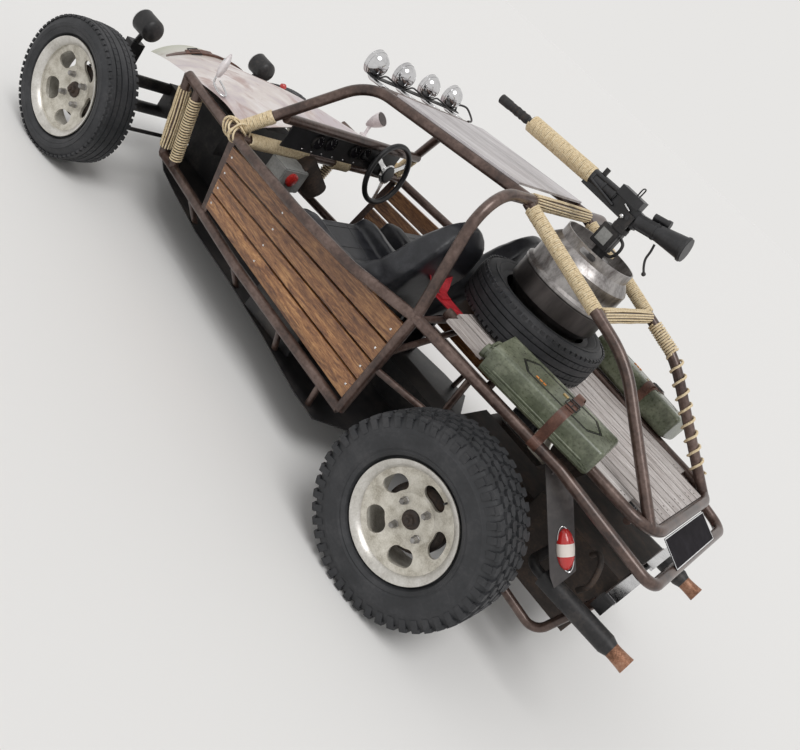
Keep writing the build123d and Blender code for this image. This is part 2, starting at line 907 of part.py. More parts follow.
def dash_panel():
    """A plain panel hung between the dash tube and the lower cross tube."""
    front = dash_x + tube_radius + seat_gap
    panel = box_between((front, -400.0, 740.0), (front + 6.0, 400.0, dash_z + 4.0))
    return panel - rod(on_column(40.0), on_column(180.0), column_radius + fit_gap)


# Bucket seats
def seat_front_view(inset):
    """The seat seen from the front: upright sides under an arched back, drawn in by a rim's width."""
    half = seat_half_width - inset
    arch = Pos(0, seat_arch_z) * Ellipse(half, seat_top_z - seat_arch_z - inset)
    sides = Pos(0, (seat_bottom_z + seat_arch_z) / 2) * Rectangle(2 * half, seat_arch_z - seat_bottom_z)
    return Plane.YZ * (arch + sides)


def seat(side):
    """A one-piece bucket seat: side outline cut to the arched front view and hollowed for the sitter."""
    outer = extrude(Plane.XZ * make_face(Polyline(*seat_outer, close=True)), amount=seat_half_width, both=True)
    outer = outer & extrude(seat_front_view(0.0), amount=wheelbase)
    last_x, last_z = seat_well[-1]
    first_x, first_z = seat_well[0]
    open_side = [(last_x, first_z)]
    well = extrude(Plane.XZ * make_face(Polyline(*(list(seat_well) + open_side), close=True)),
                   amount=seat_half_width, both=True)
    body = outer - (well & extrude(seat_front_view(seat_rim), amount=wheelbase))
    foot = floor_z + floor_thickness + seat_gap
    for turn in (1, -1):
        y = turn * seat_rail_spread
        body = body + box_between((seat_rail_rear_x, y - seat_rail_half, foot),
                                  (seat_rail_front_x, y + seat_rail_half, seat_bottom_z + 60.0))
    return Pos(0, side * seat_y, 0) * body


def levers():
    """Gear lever and handbrake on the tunnel."""
    top = floor_z + tunnel_height + fit_gap
    gear = rod((1250.0, 0, top + 6.0), (1190.0, 0, top + 230.0), 8.0)
    boss = drum((1251.0, 0, top + 6.0), 30.0, 12.0, "z")
    knob = Pos(1188.0, 0, top + 238.0) * Sphere(20.0)
    foot = box_between((1050.0, 18.0, top), (1110.0, 42.0, top + 24.0))
    brake = rod((1080.0, 30.0, top + 14.0), (960.0, 30.0, top + 120.0), 9.0)
    return Compound(children=[joined([gear, knob, boss]), foot + brake])


# Power unit
def rear_axle():
    """Gearbox, torsion tube, axle tubes, drums and hubs."""
    z = rear_tyre_radius
    pieces = [rod((torsion_x, 470.0, 300.0), (torsion_x, -470.0, 300.0), torsion_tube_radius)]
    pieces.append(box_between((engine_front_x, -110.0, z - 100.0), (torsion_x - 20.0, 110.0, z + 90.0)))
    face = hub_face_y(False)
    back = face - drum_depth - running_gap
    pieces.append(rod((0, back, z), (0, -back, z), 34.0))
    pieces.append(rod((0, face - 8.0, z), (0, -face + 8.0, z), stub_radius))
    for side in (1, -1):
        pieces.append(drum((0, side * (back - 4.0), z), rear_drum_radius, 8.0, "y"))
        arm = box_between((0.0, min(side * 430.0, side * 440.0), z - 60.0),
                          (torsion_x, max(side * 430.0, side * 440.0), z - 20.0))
        pieces.append(arm)
    return joined(pieces)


def engine_block():
    return box_between((engine_rear_x, -engine_half_width, engine_bottom_z),
                       (engine_front_x, engine_half_width, engine_top_z))


def exhaust_height(x):
    return exhaust_front_z + (exhaust_front_x - x) * exhaust_rise


def exhausts():
    """A silencer, its inlet pipe and a tapered tail pipe on each side."""
    pipes = []
    lean = math.degrees(math.atan(exhaust_rise))
    for side in (1, -1):
        y = side * exhaust_y
        rear = exhaust_rear_x
        body = rod((exhaust_front_x, y, exhaust_height(exhaust_front_x)), (rear, y, exhaust_height(rear)), silencer_radius)
        taper = Rot(0, -90 + lean, 0) * Cone(silencer_radius, tip_radius, 30.0)
        neck = Pos(rear - 15.0, y, exhaust_height(rear - 15.0)) * taper
        tip = rod((rear, y, exhaust_height(rear)), (tip_rear_x, y, exhaust_height(tip_rear_x)), tip_radius)
        port = side * (engine_half_width + seat_gap)
        inlet_z = exhaust_height(port_x)
        inlet = [(exhaust_front_x - 15.0, y, inlet_z + 2.0), (port_x, y, inlet_z), (port_x, port, inlet_z)]
        lead = bent_tube(inlet, bend=45.0, radius=port_radius)
        hollow = rod((tip_rear_x + 60.0, y, exhaust_height(tip_rear_x + 60.0)),
                     (tip_rear_x - 20.0, y, exhaust_height(tip_rear_x - 20.0)), tip_radius - 4.0)
        pipes.append(joined([body, neck, tip, lead]) - hollow)
    return Compound(children=pipes)


def engine_guards():
    """Low loops either side of the engine, tied by a flat bar behind it."""
    pieces = []
    for side in (1, -1):
        loop = [
            mirrored(-60.0, 420.0, 300.0, side),
            mirrored(-500.0, 420.0, 262.0, side),
            mirrored(-560.0, 370.0, 500.0, side),
        ]
        pieces.append(bent_tube(loop, bend=60.0, radius=17.0))
    pieces.append(box_between((-572.0, -370.0, 478.0), (-552.0, 370.0, 528.0)))
    return joined(pieces)


# Dressing on the deck
def spare_tyre():
    """A bare tyre lying flat, open inside."""
    half = spare_width / 2
    outline = [
        (spare_hole, -half + 24.0), (spare_hole + 24.0, -half + 6.0), (spare_radius - 60.0, -half),
        (spare_radius - 18.0, -half + 10.0), (spare_radius, -half + 36.0), (spare_radius, half - 36.0),
        (spare_radius - 18.0, half - 10.0), (spare_radius - 60.0, half), (spare_hole + 24.0, half - 6.0),
        (spare_hole, half - 24.0), (spare_hole, half - 38.0), (spare_radius - 26.0, half - 40.0),
        (spare_radius - 26.0, -half + 40.0), (spare_hole, -half + 38.0),
    ]
    ring = revolve(Plane.XZ * make_face(Polyline(*outline, close=True)), axis=Axis.Z)
    return Pos(spare_x, 0, deck_z + board_thickness / 2 + half + seat_gap) * ring


def keg():
    """A steel barrel with a raised rim and hand slots, standing in the hole of the spare tyre."""
    low, top = deck_z + board_thickness / 2 + seat_gap, keg_top_z
    inside = keg_rim_radius - keg_wall
    outline = [
        (0, low + 14.0), (keg_foot_radius - 34.0, low + 14.0), (keg_foot_radius - 16.0, low),
        (keg_foot_radius, low + 6.0), (keg_foot_radius, keg_waist_z),
        (keg_band_radius, keg_band_low_z), (keg_band_radius, keg_band_high_z),
        (keg_hoop_radius, keg_band_high_z + 6.0), (keg_hoop_radius, keg_band_high_z + 18.0),
        (keg_radius, keg_band_high_z + 28.0), (keg_radius, keg_seam_z),
        (keg_radius - 6.0, keg_seam_z + 10.0), (keg_rim_radius + 12.0, keg_rim_foot_z - 6.0),
        (keg_rim_radius, keg_rim_foot_z + 6.0), (keg_rim_radius, top), (inside, top),
        (inside, keg_rim_foot_z + 4.0), (post_radius + 60.0, top - keg_top_drop - 6.0),
        (post_radius + 10.0, top - keg_top_drop), (0, top - keg_top_drop),
    ]
    body = revolve(Plane.XZ * make_face(Polyline(*outline, close=True)), axis=Axis.Z)
    slot = Rot(0, 90, 0) * Rot(0, 0, 90) * extrude(SlotOverall(keg_slot_length, keg_slot_height), amount=40.0, both=True)
    height = (keg_rim_foot_z + 6.0 + top) / 2
    for turn in (0.0, 180.0):
        body = body - Rot(0, 0, keg_slot_angle + turn) * Pos(keg_rim_radius, 0, height) * slot
    return Pos(keg_x, 0, 0) * body


def gun_post():
    """A fixed post standing on the keg's top."""
    low = keg_top_z - keg_top_drop
    top = pivot_z - yoke_drop - seat_gap
    post = drum((keg_x, 0, (low + top) / 2), post_radius, top - low, "z")
    return post + drum((keg_x, 0, top + spigot_height / 2), spigot_radius, spigot_height, "z")


def gun_yoke():
    low = pivot_z - yoke_drop
    pieces = [drum((keg_x, 0, low + 9.0), 34.0, 18.0, "z")]
    for side in (1, -1):
        cheek = Box(48.0, yoke_cheek, yoke_drop + 10.0)
        pieces.append(Pos(keg_x, side * (yoke_inner_half + yoke_cheek / 2), low + 8.0 + (yoke_drop + 10.0) / 2) * cheek)
    yoke = joined(pieces)
    yoke = yoke - drum((keg_x, 0, low), spigot_radius + pin_clearance, 2 * spigot_height + 0.5, "z")
    return yoke - drum((keg_x, 0, pivot_z), pin_radius + pin_clearance, 90.0, "y")


def gun():
    """The mock gun: barrel, padded sleeve, receiver with its box and flared tail, drawn about its pin."""
    flare = Rot(0, -79.0, 0) * Cone(31.0, 45.0, 120.0)
    pieces = [
        rod((muzzle_reach, 0, -6.0), (sleeve_front_reach - 20.0, 0, 6.0), barrel_radius_small),
        rod((sleeve_front_reach, 0, 5.0), (sleeve_rear_reach, 0, 20.0), sleeve_radius),
        box_between((-40.0, -receiver_half_width, -22.0), (230.0, receiver_half_width, 44.0)),
        box_between((-10.0, -28.0, 40.0), (96.0, 28.0, 78.0)),
        rod((-30.0, 0, 12.0), (-130.0, 0, 34.0), 30.0),
        Pos(-176.0, 0, 44.0) * flare,
        drum((0, 0, 0), pin_radius, 66.0, "y"),
    ]
    return Pos(keg_x, 0, pivot_z) * joined(pieces)


def fuel_can():
    """One can lying on its side along X, spout forward, its outer side along +Y."""
    body = Box(can_length, can_width, can_height)
    body = fillet(body.edges().filter_by(Axis.X), can_corner)
    body = fillet(body.faces().sort_by(Axis.X)[0].edges(), can_corner - 8.0)
    panel = [(-195.0, 0.0), (-150.0, 52.0), (120.0, 52.0), (165.0, 0.0), (120.0, -52.0), (-150.0, -52.0)]
    inner = [(-181.0, 0.0), (-143.0, 42.0), (113.0, 42.0), (151.0, 0.0), (113.0, -42.0), (-143.0, -42.0)]
    groove = make_face(Polyline(*panel, close=True)) - make_face(Polyline(*inner, close=True))
    body = body - Pos(0, 0, can_height / 2 - 4.0) * extrude(groove, amount=10.0)
    front = can_length / 2
    spout = drum((front + 10.0, can_width / 2 - 40.0, 0), spout_radius, 24.0, "x")
    cap = drum((front + 24.0, can_width / 2 - 40.0, 0), spout_radius + 5.0, 14.0, "x")
    inner_y, outer_y = -can_width / 2 + 24.0, can_width / 2 - 84.0
    grip = [(front - 12.0, inner_y, 0), (front + 26.0, inner_y, 0), (front + 26.0, outer_y, 0), (front - 12.0, outer_y, 0)]
    handle = bent_tube(grip, bend=14.0, radius=handle_radius)
    pieces = [body, spout, cap, handle]
    for z in (-30.0, -14.0):
        pieces.append(drum((0, can_width / 2 - 1.0, z), 4.0, can_length - 90.0, "x"))
    return joined(pieces)


def fuel_cans():
    """A can on each side, rolled and turned to lie against the deck's outer tube."""
    roll, yaw = math.radians(can_roll), math.radians(can_yaw)
    normal = (-math.sin(roll) * math.sin(yaw), math.sin(roll) * math.cos(yaw), math.cos(roll))
    support = 0.0
    for x in (can_x - can_length / 2, can_x + can_length / 2):
        share = (deck_front_x - x) / (deck_front_x - deck_rear_x)
        y = deck_half_width + share * (deck_rear_half_width - deck_half_width)
        support = max(support, normal[0] * x + normal[1] * y + normal[2] * deck_z)
    support = support + tube_radius + seat_gap + can_height / 2
    z = (support - normal[0] * can_x - normal[1] * can_y) / normal[2]
    left = Pos(can_x, can_y, z) * Rot(0, 0, can_yaw) * Rot(-can_roll, 0, 0) * fuel_can()
    return Compound(children=[left, mirror(left, about=Plane.XZ)])


# Tail panels and lamps
def panel_out():
    """The panel's outward normal, from the cross product of its two directions."""
    normal = Vector(*panel_down).cross(Vector(*panel_across)).normalized()
    return normal


def on_panel(across, down, out=0.0):
    """A point on the left panel, by distances across it, down it and out of it."""
    return Vector(*panel_corner) + Vector(*panel_across) * across + Vector(*panel_down) * down + panel_out() * out


def tail_panels(rails):
    """A narrow panel hung from each outer rail, turned half towards the rear."""
    corners = [on_panel(across, down) for across, down in panel_outline]
    face = make_face(Polyline(*corners, close=True))
    panel = extrude(face, amount=-panel_thickness_small, dir=panel_out())
    head = on_panel(30.0, -40.0, -panel_thickness_small / 2)
    panel = panel + rod(head, (head.X, head.Y + 14.0, rail_mid_z), panel_hanger_radius)
    panel = panel - rails
    return Compound(children=[panel, mirror(panel, about=Plane.XZ)])


def tail_lamps():
    """A long domed lens standing on each tail panel."""
    place = Plane(origin=on_panel(lamp_across, lamp_down, seat_gap), x_dir=panel_down, z_dir=panel_out())
    dome = scale(Sphere(1.0), by=(lamp_length / 2, lamp_width / 2, lamp_height))
    outer_half = Pos(0, 0, lamp_length / 2) * Box(2 * lamp_length, 2 * lamp_length, lamp_length)
    lamp = place * (dome & outer_half)
    return Compound(children=[lamp, mirror(lamp, about=Plane.XZ)])


def number_plate():
    """A blank plate sloping up from the bumper loop towards the deck loop."""
    plate = Box(plate_height, plate_width, plate_thickness)
    lift = tube_radius + plate_thickness / 2 + seat_gap
    turn = math.radians(plate_lean)
    x = bumper_x - lift * math.sin(turn) + plate_reach * math.cos(turn)
    z = bumper_z + lift * math.cos(turn) + plate_reach * math.sin(turn)
    return Pos(x, 0, z) * Rot(0, -plate_lean, 0) * plate


# Lamps and mirrors
def headlamp():
    """The left headlamp: a deep round bucket on a stalk and a box that stands on its tower."""
    x, y, z = headlamp_x, headlamp_y, headlamp_z
    bucket = drum((x, y, z), headlamp_radius, 80.0, "x")
    back = Pos(x - 40.0, y, z) * scale(Sphere(headlamp_radius), by=(0.6, 1.0, 1.0))
    tower_x = wheelbase + beam_x_offset
    foot_z = front_tyre_radius + tower_top_rise + seat_gap
    box = box_between((tower_x - 24.0, tower_inner_half + 2.0, foot_z), (tower_x + 24.0, y + 24.0, foot_z + 52.0))
    stalk = rod((tower_x - 6.0, y - 4.0, foot_z + 40.0), (x, y, z - headlamp_radius + 14.0), 13.0)
    return joined([bucket, back, box, stalk])


def headlamps():
    return Compound(children=[headlamp(), mirror(headlamp(), about=Plane.XZ)])


def roof_lamps():
    """Four round bowls on short brackets ahead of the front roof tube."""
    lamps = []
    bar_x_here, bar_z_here = brow_x - roof_cross_setback, brow_z + 4.0
    sheath = cross_tube(bar_x_here, brow_half_width, bar_z_here, radius=tube_radius + seat_gap)
    r = roof_lamp_radius
    for y in roof_lamp_spread:
        bowl = scale(Sphere(r), by=(0.9, 1.0, 1.0)) - Pos(r, 0, 0) * Box(2 * r, 3 * r, 3 * r)
        lamp = Pos(roof_lamp_x, y, roof_lamp_z) * (bowl + drum((7.0, 0, 0), r + 2.0, 15.0, "x"))
        arm = [(bar_x_here + 12.0, y, bar_z_here + 12.0), (roof_lamp_x - 4.0, y, bar_z_here - 2.0),
               (roof_lamp_x + 2.0, y, roof_lamp_z - r + 8.0)]
        lamps.append((lamp + bent_tube(arm, bend=16.0, radius=8.0)) - sheath)
    return Compound(children=lamps)


def mirrors():
    """A bullet-shaped mirror on a stem each side of the bonnet, its glass looking back and up."""
    head = Pos(mirror_x, mirror_y, mirror_z) * Rot(0, mirror_turn, 0) * Cone(mirror_radius, 7.0, mirror_length)
    stem = rod((mirror_x + 6.0, mirror_y, mirror_z - 14.0), (mirror_x - 52.0, mirror_y - 62.0, 690.0), 8.0)
    left = largest(head + stem - bonnet_loft(-seat_gap))
    return Compound(children=[left, mirror(left, about=Plane.XZ)])


# Rope windings
def sleeve(start, end, from_share, to_share, radius=rope_radius, core=tube_radius):
    """A band of rope turns round part of a straight tube."""
    run = Vector(*end) - Vector(*start)
    near, far = Vector(*start) + run * from_share, Vector(*start) + run * to_share
    return rod(near, far, radius) - rod(Vector(*start), Vector(*end), core)


def rope_front():
    """Bands round the pillars' feet, the front uprights and the lower cross tube."""
    hull = bonnet_loft(-seat_gap)
    bands = []
    for side in (1, -1):
        foot = mirrored(node_x, node_half_width, node_z, side)
        brow = mirrored(brow_turn_x, brow_half_width + 8.0, brow_z, side)
        bands.append(sleeve(foot, brow, 0.13, dash_share - 0.055) - hull)
        low = mirrored(*lower_rail_points[0], side)
        high = mirrored(*upper_rail_points[0], side)
        bands.append(sleeve(low, high, 0.10, 0.88))
        low = (low[0] + upright_step, low[1] - side * upright_taper, low[2])
        high = (high[0] + upright_step, high[1] - side * upright_taper, high[2])
        bands.append(sleeve(low, high, 0.10, 0.84))
    left, right = (lower_cross_x, node_half_width, lower_cross_z), (lower_cross_x, -node_half_width, lower_cross_z)
    bands.append(sleeve(left, right, 0.06, 0.66, radius=rope_radius - 1.5))
    bands.append(sleeve(left, right, 0.86, 0.94, radius=rope_radius - 1.5))
    return Compound(children=bands)


def rope_rear():
    """Bands round the stays and the crossbar between them."""
    bands = []
    tail = stay_share(cage_cross_x)
    for side in (1, -1):
        top = mirrored(hoop_top_x, stay_top_half_width, stay_top_z, side)
        knee = mirrored(stay_knee_x, stay_knee_half_width, stay_knee_z, side)
        bands.append(sleeve(top, knee, 0.05, tail - 0.05))
    x, half, z = cage_cross_x, stay_half_width(cage_cross_x), stay_height(cage_cross_x) - 1.0
    bands.append(sleeve((x, half, z), (x, -half, z), 0.10, 0.90, radius=rope_radius - 4.0))
    return Compound(children=bands)


def save(name, shape):
    """Writes one node, moved to the shared frame."""
    export_step(Pos(rear_axle_x, 0, 0) * shape, f"parts/{name}.step")


left_frame = side_frame(1)
right_frame = mirror(left_frame, about=Plane.XZ)
hoop = main_hoop() - left_frame - right_frame
screen = screen_frame() - left_frame - right_frame - hoop
cage = rear_cage() - hoop - screen
rails = rear_rails() - left_frame - right_frame
hoop = hoop - rails
loop = deck_loop() - rails - hoop
cage = largest(cage - loop)

save("side_frame_left", left_frame)
save("side_frame_right", right_frame)
save("main_hoop", hoop)
save("screen_frame", screen)
save("rear_cage", cage)
save("rear_rails", rails)
save("deck_loop", loop)
save("deck_boards", deck_boards())
save("roof_panel", roof_panel())
slats = side_slats()
save("side_slats", Compound(children=slats + [mirror(slat, about=Plane.XZ) for slat in slats]))
save("floor_pan", floor_pan())
save("bonnet", largest(bonnet() - screen - left_frame - right_frame))
save("bonnet_strap", strap_over_bonnet())
save("front_beam", front_beam())
save("knuckle_left", knuckle())
save("knuckle_right", mirror(knuckle(), about=Plane.XZ))
save("tie_rod", tie_rod())
for tag, front, side in (("fl", True, 1), ("fr", True, -1), ("rl", False, 1), ("rr", False, -1)):
    wheel_rim, wheel_tyre, wheel_drum = wheel_pair(front, side)
    save(f"rim_{tag}", wheel_rim)
    save(f"tyre_{tag}", wheel_tyre)
    save(f"drum_{tag}", wheel_drum)
save("front_tank", front_tank())
save("steering_column", steering_column())
save("steering_wheel", steering_wheel())
save("dash_panel", dash_panel())
save("seat_left", seat(1))
save("seat_right", seat(-1))
save("levers", levers())
save("rear_axle", rear_axle())
save("engine_block", engine_block())
save("exhausts", exhausts())
save("engine_guards", engine_guards())
save("spare_tyre", spare_tyre())
save("keg", keg())
save("gun_post", gun_post())
save("gun_yoke", gun_yoke())
save("gun", gun())
save("fuel_cans", fuel_cans())
save("tail_panels", tail_panels(rails))
save("tail_lamps", tail_lamps())
save("number_plate", number_plate())
save("headlamps", headlamps())
save("roof_lamps", roof_lamps())
save("mirrors", mirrors())
save("rope_front", rope_front())
save("rope_rear", rope_rear())
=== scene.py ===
import math
import random

import bmesh
import bpy
from mathutils import Matrix, Vector
from mathutils.bvhtree import BVHTree


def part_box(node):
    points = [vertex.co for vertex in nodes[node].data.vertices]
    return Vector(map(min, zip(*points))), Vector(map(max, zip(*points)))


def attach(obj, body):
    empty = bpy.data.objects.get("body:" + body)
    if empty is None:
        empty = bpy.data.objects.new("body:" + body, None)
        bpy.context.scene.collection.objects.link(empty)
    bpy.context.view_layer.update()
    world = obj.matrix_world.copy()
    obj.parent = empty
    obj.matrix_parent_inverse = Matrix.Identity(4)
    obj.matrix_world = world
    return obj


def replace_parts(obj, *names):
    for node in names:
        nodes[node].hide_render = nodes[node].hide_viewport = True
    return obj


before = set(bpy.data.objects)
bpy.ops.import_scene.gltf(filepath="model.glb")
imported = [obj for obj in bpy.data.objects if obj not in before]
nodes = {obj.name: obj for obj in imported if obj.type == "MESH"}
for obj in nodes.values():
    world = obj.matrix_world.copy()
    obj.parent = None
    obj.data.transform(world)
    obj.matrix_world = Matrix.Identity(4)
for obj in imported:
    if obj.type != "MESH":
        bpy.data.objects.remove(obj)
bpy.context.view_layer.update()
print("frame loaded:", len(nodes), "nodes")

rearAxle = -0.965  # x of the rear axle in the shared frame; spot() measures from that axle
tube = 0.021  # radius of the main tubes
lay = 0.0035  # radius of the rope itself


def spot(x, y, z):
    return Vector((x + rearAxle, y, z))


def spots(*places):
    return [spot(*place) for place in places]


def share(a, b, t):
    return a + (b - a) * t


def turns(count):
    return [2 * math.pi * k / count for k in range(count)]


def roundSection(radius, sides):
    return [(radius * math.cos(a), radius * math.sin(a)) for a in turns(sides)]


def flatSection(halfAcross, halfUp):
    return [(-halfAcross, -halfUp), (halfAcross, -halfUp), (halfAcross, halfUp), (-halfAcross, halfUp)]


# finishes: every pattern reads the piece's own coordinates
finishes = {}


def startFinish(name, colour, roughness, metallic=0.0, coat=0.0):
    material = bpy.data.materials.new(name)
    material.use_nodes = True
    shader = material.node_tree.nodes["Principled BSDF"]
    values = {"Base Color": (*colour, 1.0), "Roughness": roughness, "Metallic": metallic,
              "Coat Weight": coat, "Coat Roughness": 0.25, "Specular IOR Level": 0.5}
    for label, value in values.items():
        shader.inputs[label].default_value = value
    material.diffuse_color = (*colour, 1.0)
    finishes[name] = material
    return material, shader


def addNode(material, kind, **settings):
    node = material.node_tree.nodes.new(kind)
    for key, value in settings.items():
        setattr(node, key, value)
    return node


def link(material, fromSocket, toSocket):
    material.node_tree.links.new(fromSocket, toSocket)


def feed(material, socket, value):
    # a socket takes a number, a colour or another socket
    if isinstance(value, (int, float)):
        socket.default_value = value
    elif isinstance(value, tuple):
        socket.default_value = (*value, 1.0)
    else:
        link(material, value, socket)


def placed(material, stretch=(1, 1, 1)):
    where = addNode(material, "ShaderNodeTexCoord")
    mapping = addNode(material, "ShaderNodeMapping")
    mapping.inputs["Scale"].default_value = stretch
    link(material, where.outputs["Object"], mapping.inputs["Vector"])
    return mapping.outputs["Vector"]


def coordinate(material, axis):
    split = addNode(material, "ShaderNodeSeparateXYZ")
    link(material, placed(material), split.inputs["Vector"])
    return split.outputs[axis]


def noise(material, vector, scale, detail=4.0, rough=0.55, distort=0.0):
    texture = addNode(material, "ShaderNodeTexNoise")
    values = {"Scale": scale, "Detail": detail, "Roughness": rough, "Distortion": distort}
    for label, value in values.items():
        texture.inputs[label].default_value = value
    link(material, vector, texture.inputs["Vector"])
    return texture.outputs["Fac"]


def ramp(material, fac, stops):
    node = addNode(material, "ShaderNodeValToRGB")
    elements = node.color_ramp.elements
    while len(elements) < len(stops):
        elements.new(0.5)
    for element, (place, colour) in zip(elements, stops):
        element.position = place
        element.color = (*colour, 1.0)
    link(material, fac, node.inputs["Fac"])
    return node.outputs["Color"]


def mapRange(material, value, toMin=0.0, toMax=1.0, fromMin=0.0, fromMax=1.0):
    node = addNode(material, "ShaderNodeMapRange")
    link(material, value, node.inputs["Value"])
    values = {"From Min": fromMin, "From Max": fromMax, "To Min": toMin, "To Max": toMax}
    for label, number in values.items():
        node.inputs[label].default_value = number
    return node.outputs["Result"]


def blend(material, fac, first, second):
    node = addNode(material, "ShaderNodeMix", data_type="RGBA")
    for index, value in ((0, fac), (6, first), (7, second)):
        feed(material, node.inputs[index], value)
    return node.outputs[2]


def sums(material, operation, first, second=0.0, third=None):
    node = addNode(material, "ShaderNodeMath", operation=operation)
    for index, value in enumerate((first, second, third)):
        if value is not None:
            feed(material, node.inputs[index], value)
    return node.outputs[0]


def bump(material, shader, height, strength, distance):
    node = addNode(material, "ShaderNodeBump")
    node.inputs["Strength"].default_value = strength
    node.inputs["Distance"].default_value = distance
    link(material, height, node.inputs["Height"])
    link(material, node.outputs["Normal"], shader.inputs["Normal"])


def spread(colours, low=0.36, high=0.64):
    return [(share(low, high, i / (len(colours) - 1)), colour) for i, colour in enumerate(colours)]


def mottled(name, colours, scale, roughness, metallic, coat, stretch, relief):
    # three tones in clouds; fine grain drives the gloss and the relief
    material, shader = startFinish(name, colours[1], roughness, metallic, coat)
    vector = placed(material, stretch)
    broad = noise(material, vector, scale, 5.0, 0.6)
    fine = noise(material, vector, scale * 9.0, 3.0, 0.6)
    both = sums(material, "MULTIPLY_ADD", fine, 0.35, sums(material, "MULTIPLY", broad, 0.65))
    link(material, ramp(material, both, spread(colours)), shader.inputs["Base Color"])
    gloss = mapRange(material, fine, max(0.05, roughness - 0.12), min(1.0, roughness + 0.12))
    link(material, gloss, shader.inputs["Roughness"])
    if relief[0] > 0:
        bump(material, shader, fine, *relief)
    return shader


def plankFinish(name, colours, step, axis, stretch, coat, roughness):
    # grain runs along X, and each plank gets its own figure from its number across the axis
    material, shader = startFinish(name, colours[1], roughness, 0.0, coat)
    plank = sums(material, "FLOOR", sums(material, "DIVIDE", coordinate(material, axis), step))
    shift = addNode(material, "ShaderNodeCombineXYZ")
    for index, factor in enumerate((3.7, 1.9, 5.3)):
        link(material, sums(material, "MULTIPLY", plank, factor), shift.inputs[index])
    moved = addNode(material, "ShaderNodeVectorMath", operation="ADD")
    link(material, placed(material, stretch), moved.inputs[0])
    link(material, shift.outputs[0], moved.inputs[1])
    grain = noise(material, moved.outputs[0], 26.0, 8.0, 0.68, 0.6)
    figure = noise(material, moved.outputs[0], 4.2, 3.0, 0.5, 1.4)
    both = sums(material, "MULTIPLY_ADD", grain, 0.5, sums(material, "MULTIPLY", figure, 0.5))
    figured = ramp(material, both, spread(colours, 0.34, 0.66))
    dice = addNode(material, "ShaderNodeTexWhiteNoise", noise_dimensions="1D")
    link(material, plank, dice.inputs["W"])
    shade = mapRange(material, dice.outputs["Value"], 0.0, 0.35)
    link(material, blend(material, shade, figured, colours[0]), shader.inputs["Base Color"])
    bump(material, shader, grain, 0.3, 0.0008)


def bonnetFinish(look):
    # peeling cream paint: brown and pink stains, greenish and darker towards the nose
    material, shader = startFinish("bonnetPaint", look["cream"], 0.42, 0.0, 0.25)
    cloud = noise(material, placed(material), 3.1, 5.0, 0.6, 0.4)
    base = ramp(material, cloud, spread((look["lilac"], look["cream"], look["pale"]), 0.38, 0.62))
    patches = noise(material, placed(material, (5.0, 9.0, 5.0)), 1.0, 6.0, 0.62, 0.5)
    stain = sums(material, "MULTIPLY", mapRange(material, patches, 0.0, 1.0, 0.51, 0.63), 0.75)
    coloured = blend(material, stain, base, look["stain"])
    flakes = noise(material, placed(material, (14.0, 20.0, 14.0)), 1.6, 6.0, 0.7)
    chip = sums(material, "MULTIPLY", mapRange(material, flakes, 0.0, 1.0, 0.66, 0.70), 0.8)
    chipped = blend(material, chip, coloured, look["rust"])
    noseStart, noseEnd = look["nose"]
    nose = mapRange(material, coordinate(material, 0), 0.0, 0.75, noseStart + rearAxle, noseEnd + rearAxle)
    link(material, blend(material, nose, chipped, look["green"]), shader.inputs["Base Color"])
    bump(material, shader, flakes, 0.12, 0.001)


def kegFinish(look):
    # dull steel: stained side, dark band between the two swages, and under the band a lighter lower edge
    # where the dark mix thins, a painted highlight on the steel edge
    material, shader = startFinish("kegSteel", look["steel"], 0.34, 0.85)
    height = coordinate(material, 2)
    stains = noise(material, placed(material, (1, 1, 0.5)), 14.0, 7.0, 0.7)
    side = ramp(material, stains, spread((look["dirt"], look["steel"], look["bright"]), 0.36, 0.6))
    streaks = noise(material, placed(material, (1, 1, 0.25)), 30.0, 5.0, 0.6)
    lowSide = blend(material, streaks, look["black"], look["dirt"])
    bands = addNode(material, "ShaderNodeValToRGB")
    bands.color_ramp.interpolation = "LINEAR"
    link(material, sums(material, "SUBTRACT", height, look["foot"]), bands.inputs["Fac"])
    elements = bands.color_ramp.elements
    for place, value in look["bands"]:
        elements.new(place).color = (value, value, value, 1.0)
    # the foot and the band's lower edge take only part of the dark mix (0.7 here, 0.75 at the first stop): a
    # painted highlight under the band
    elements[0].color = (0.7, 0.7, 0.7, 1.0)
    elements[-1].color = (0.0, 0.0, 0.0, 1.0)
    link(material, blend(material, bands.outputs["Color"], side, lowSide), shader.inputs["Base Color"])
    bump(material, shader, stains, 0.2, 0.001)


def bandedLens(look):
    # red over white over red, by distance down the panel
    material, shader = startFinish("bandedLens", look["red"], 0.12, 0.0, 0.6)
    dot = addNode(material, "ShaderNodeVectorMath", operation="DOT_PRODUCT")
    dot.inputs[1].default_value = look["down"]
    link(material, placed(material), dot.inputs[0])
    offset = sums(material, "SUBTRACT", dot.outputs["Value"], look["middle"])
    band = sums(material, "LESS_THAN", sums(material, "ABSOLUTE", offset), look["half"])
    link(material, blend(material, band, look["red"], look["white"]), shader.inputs["Base Color"])


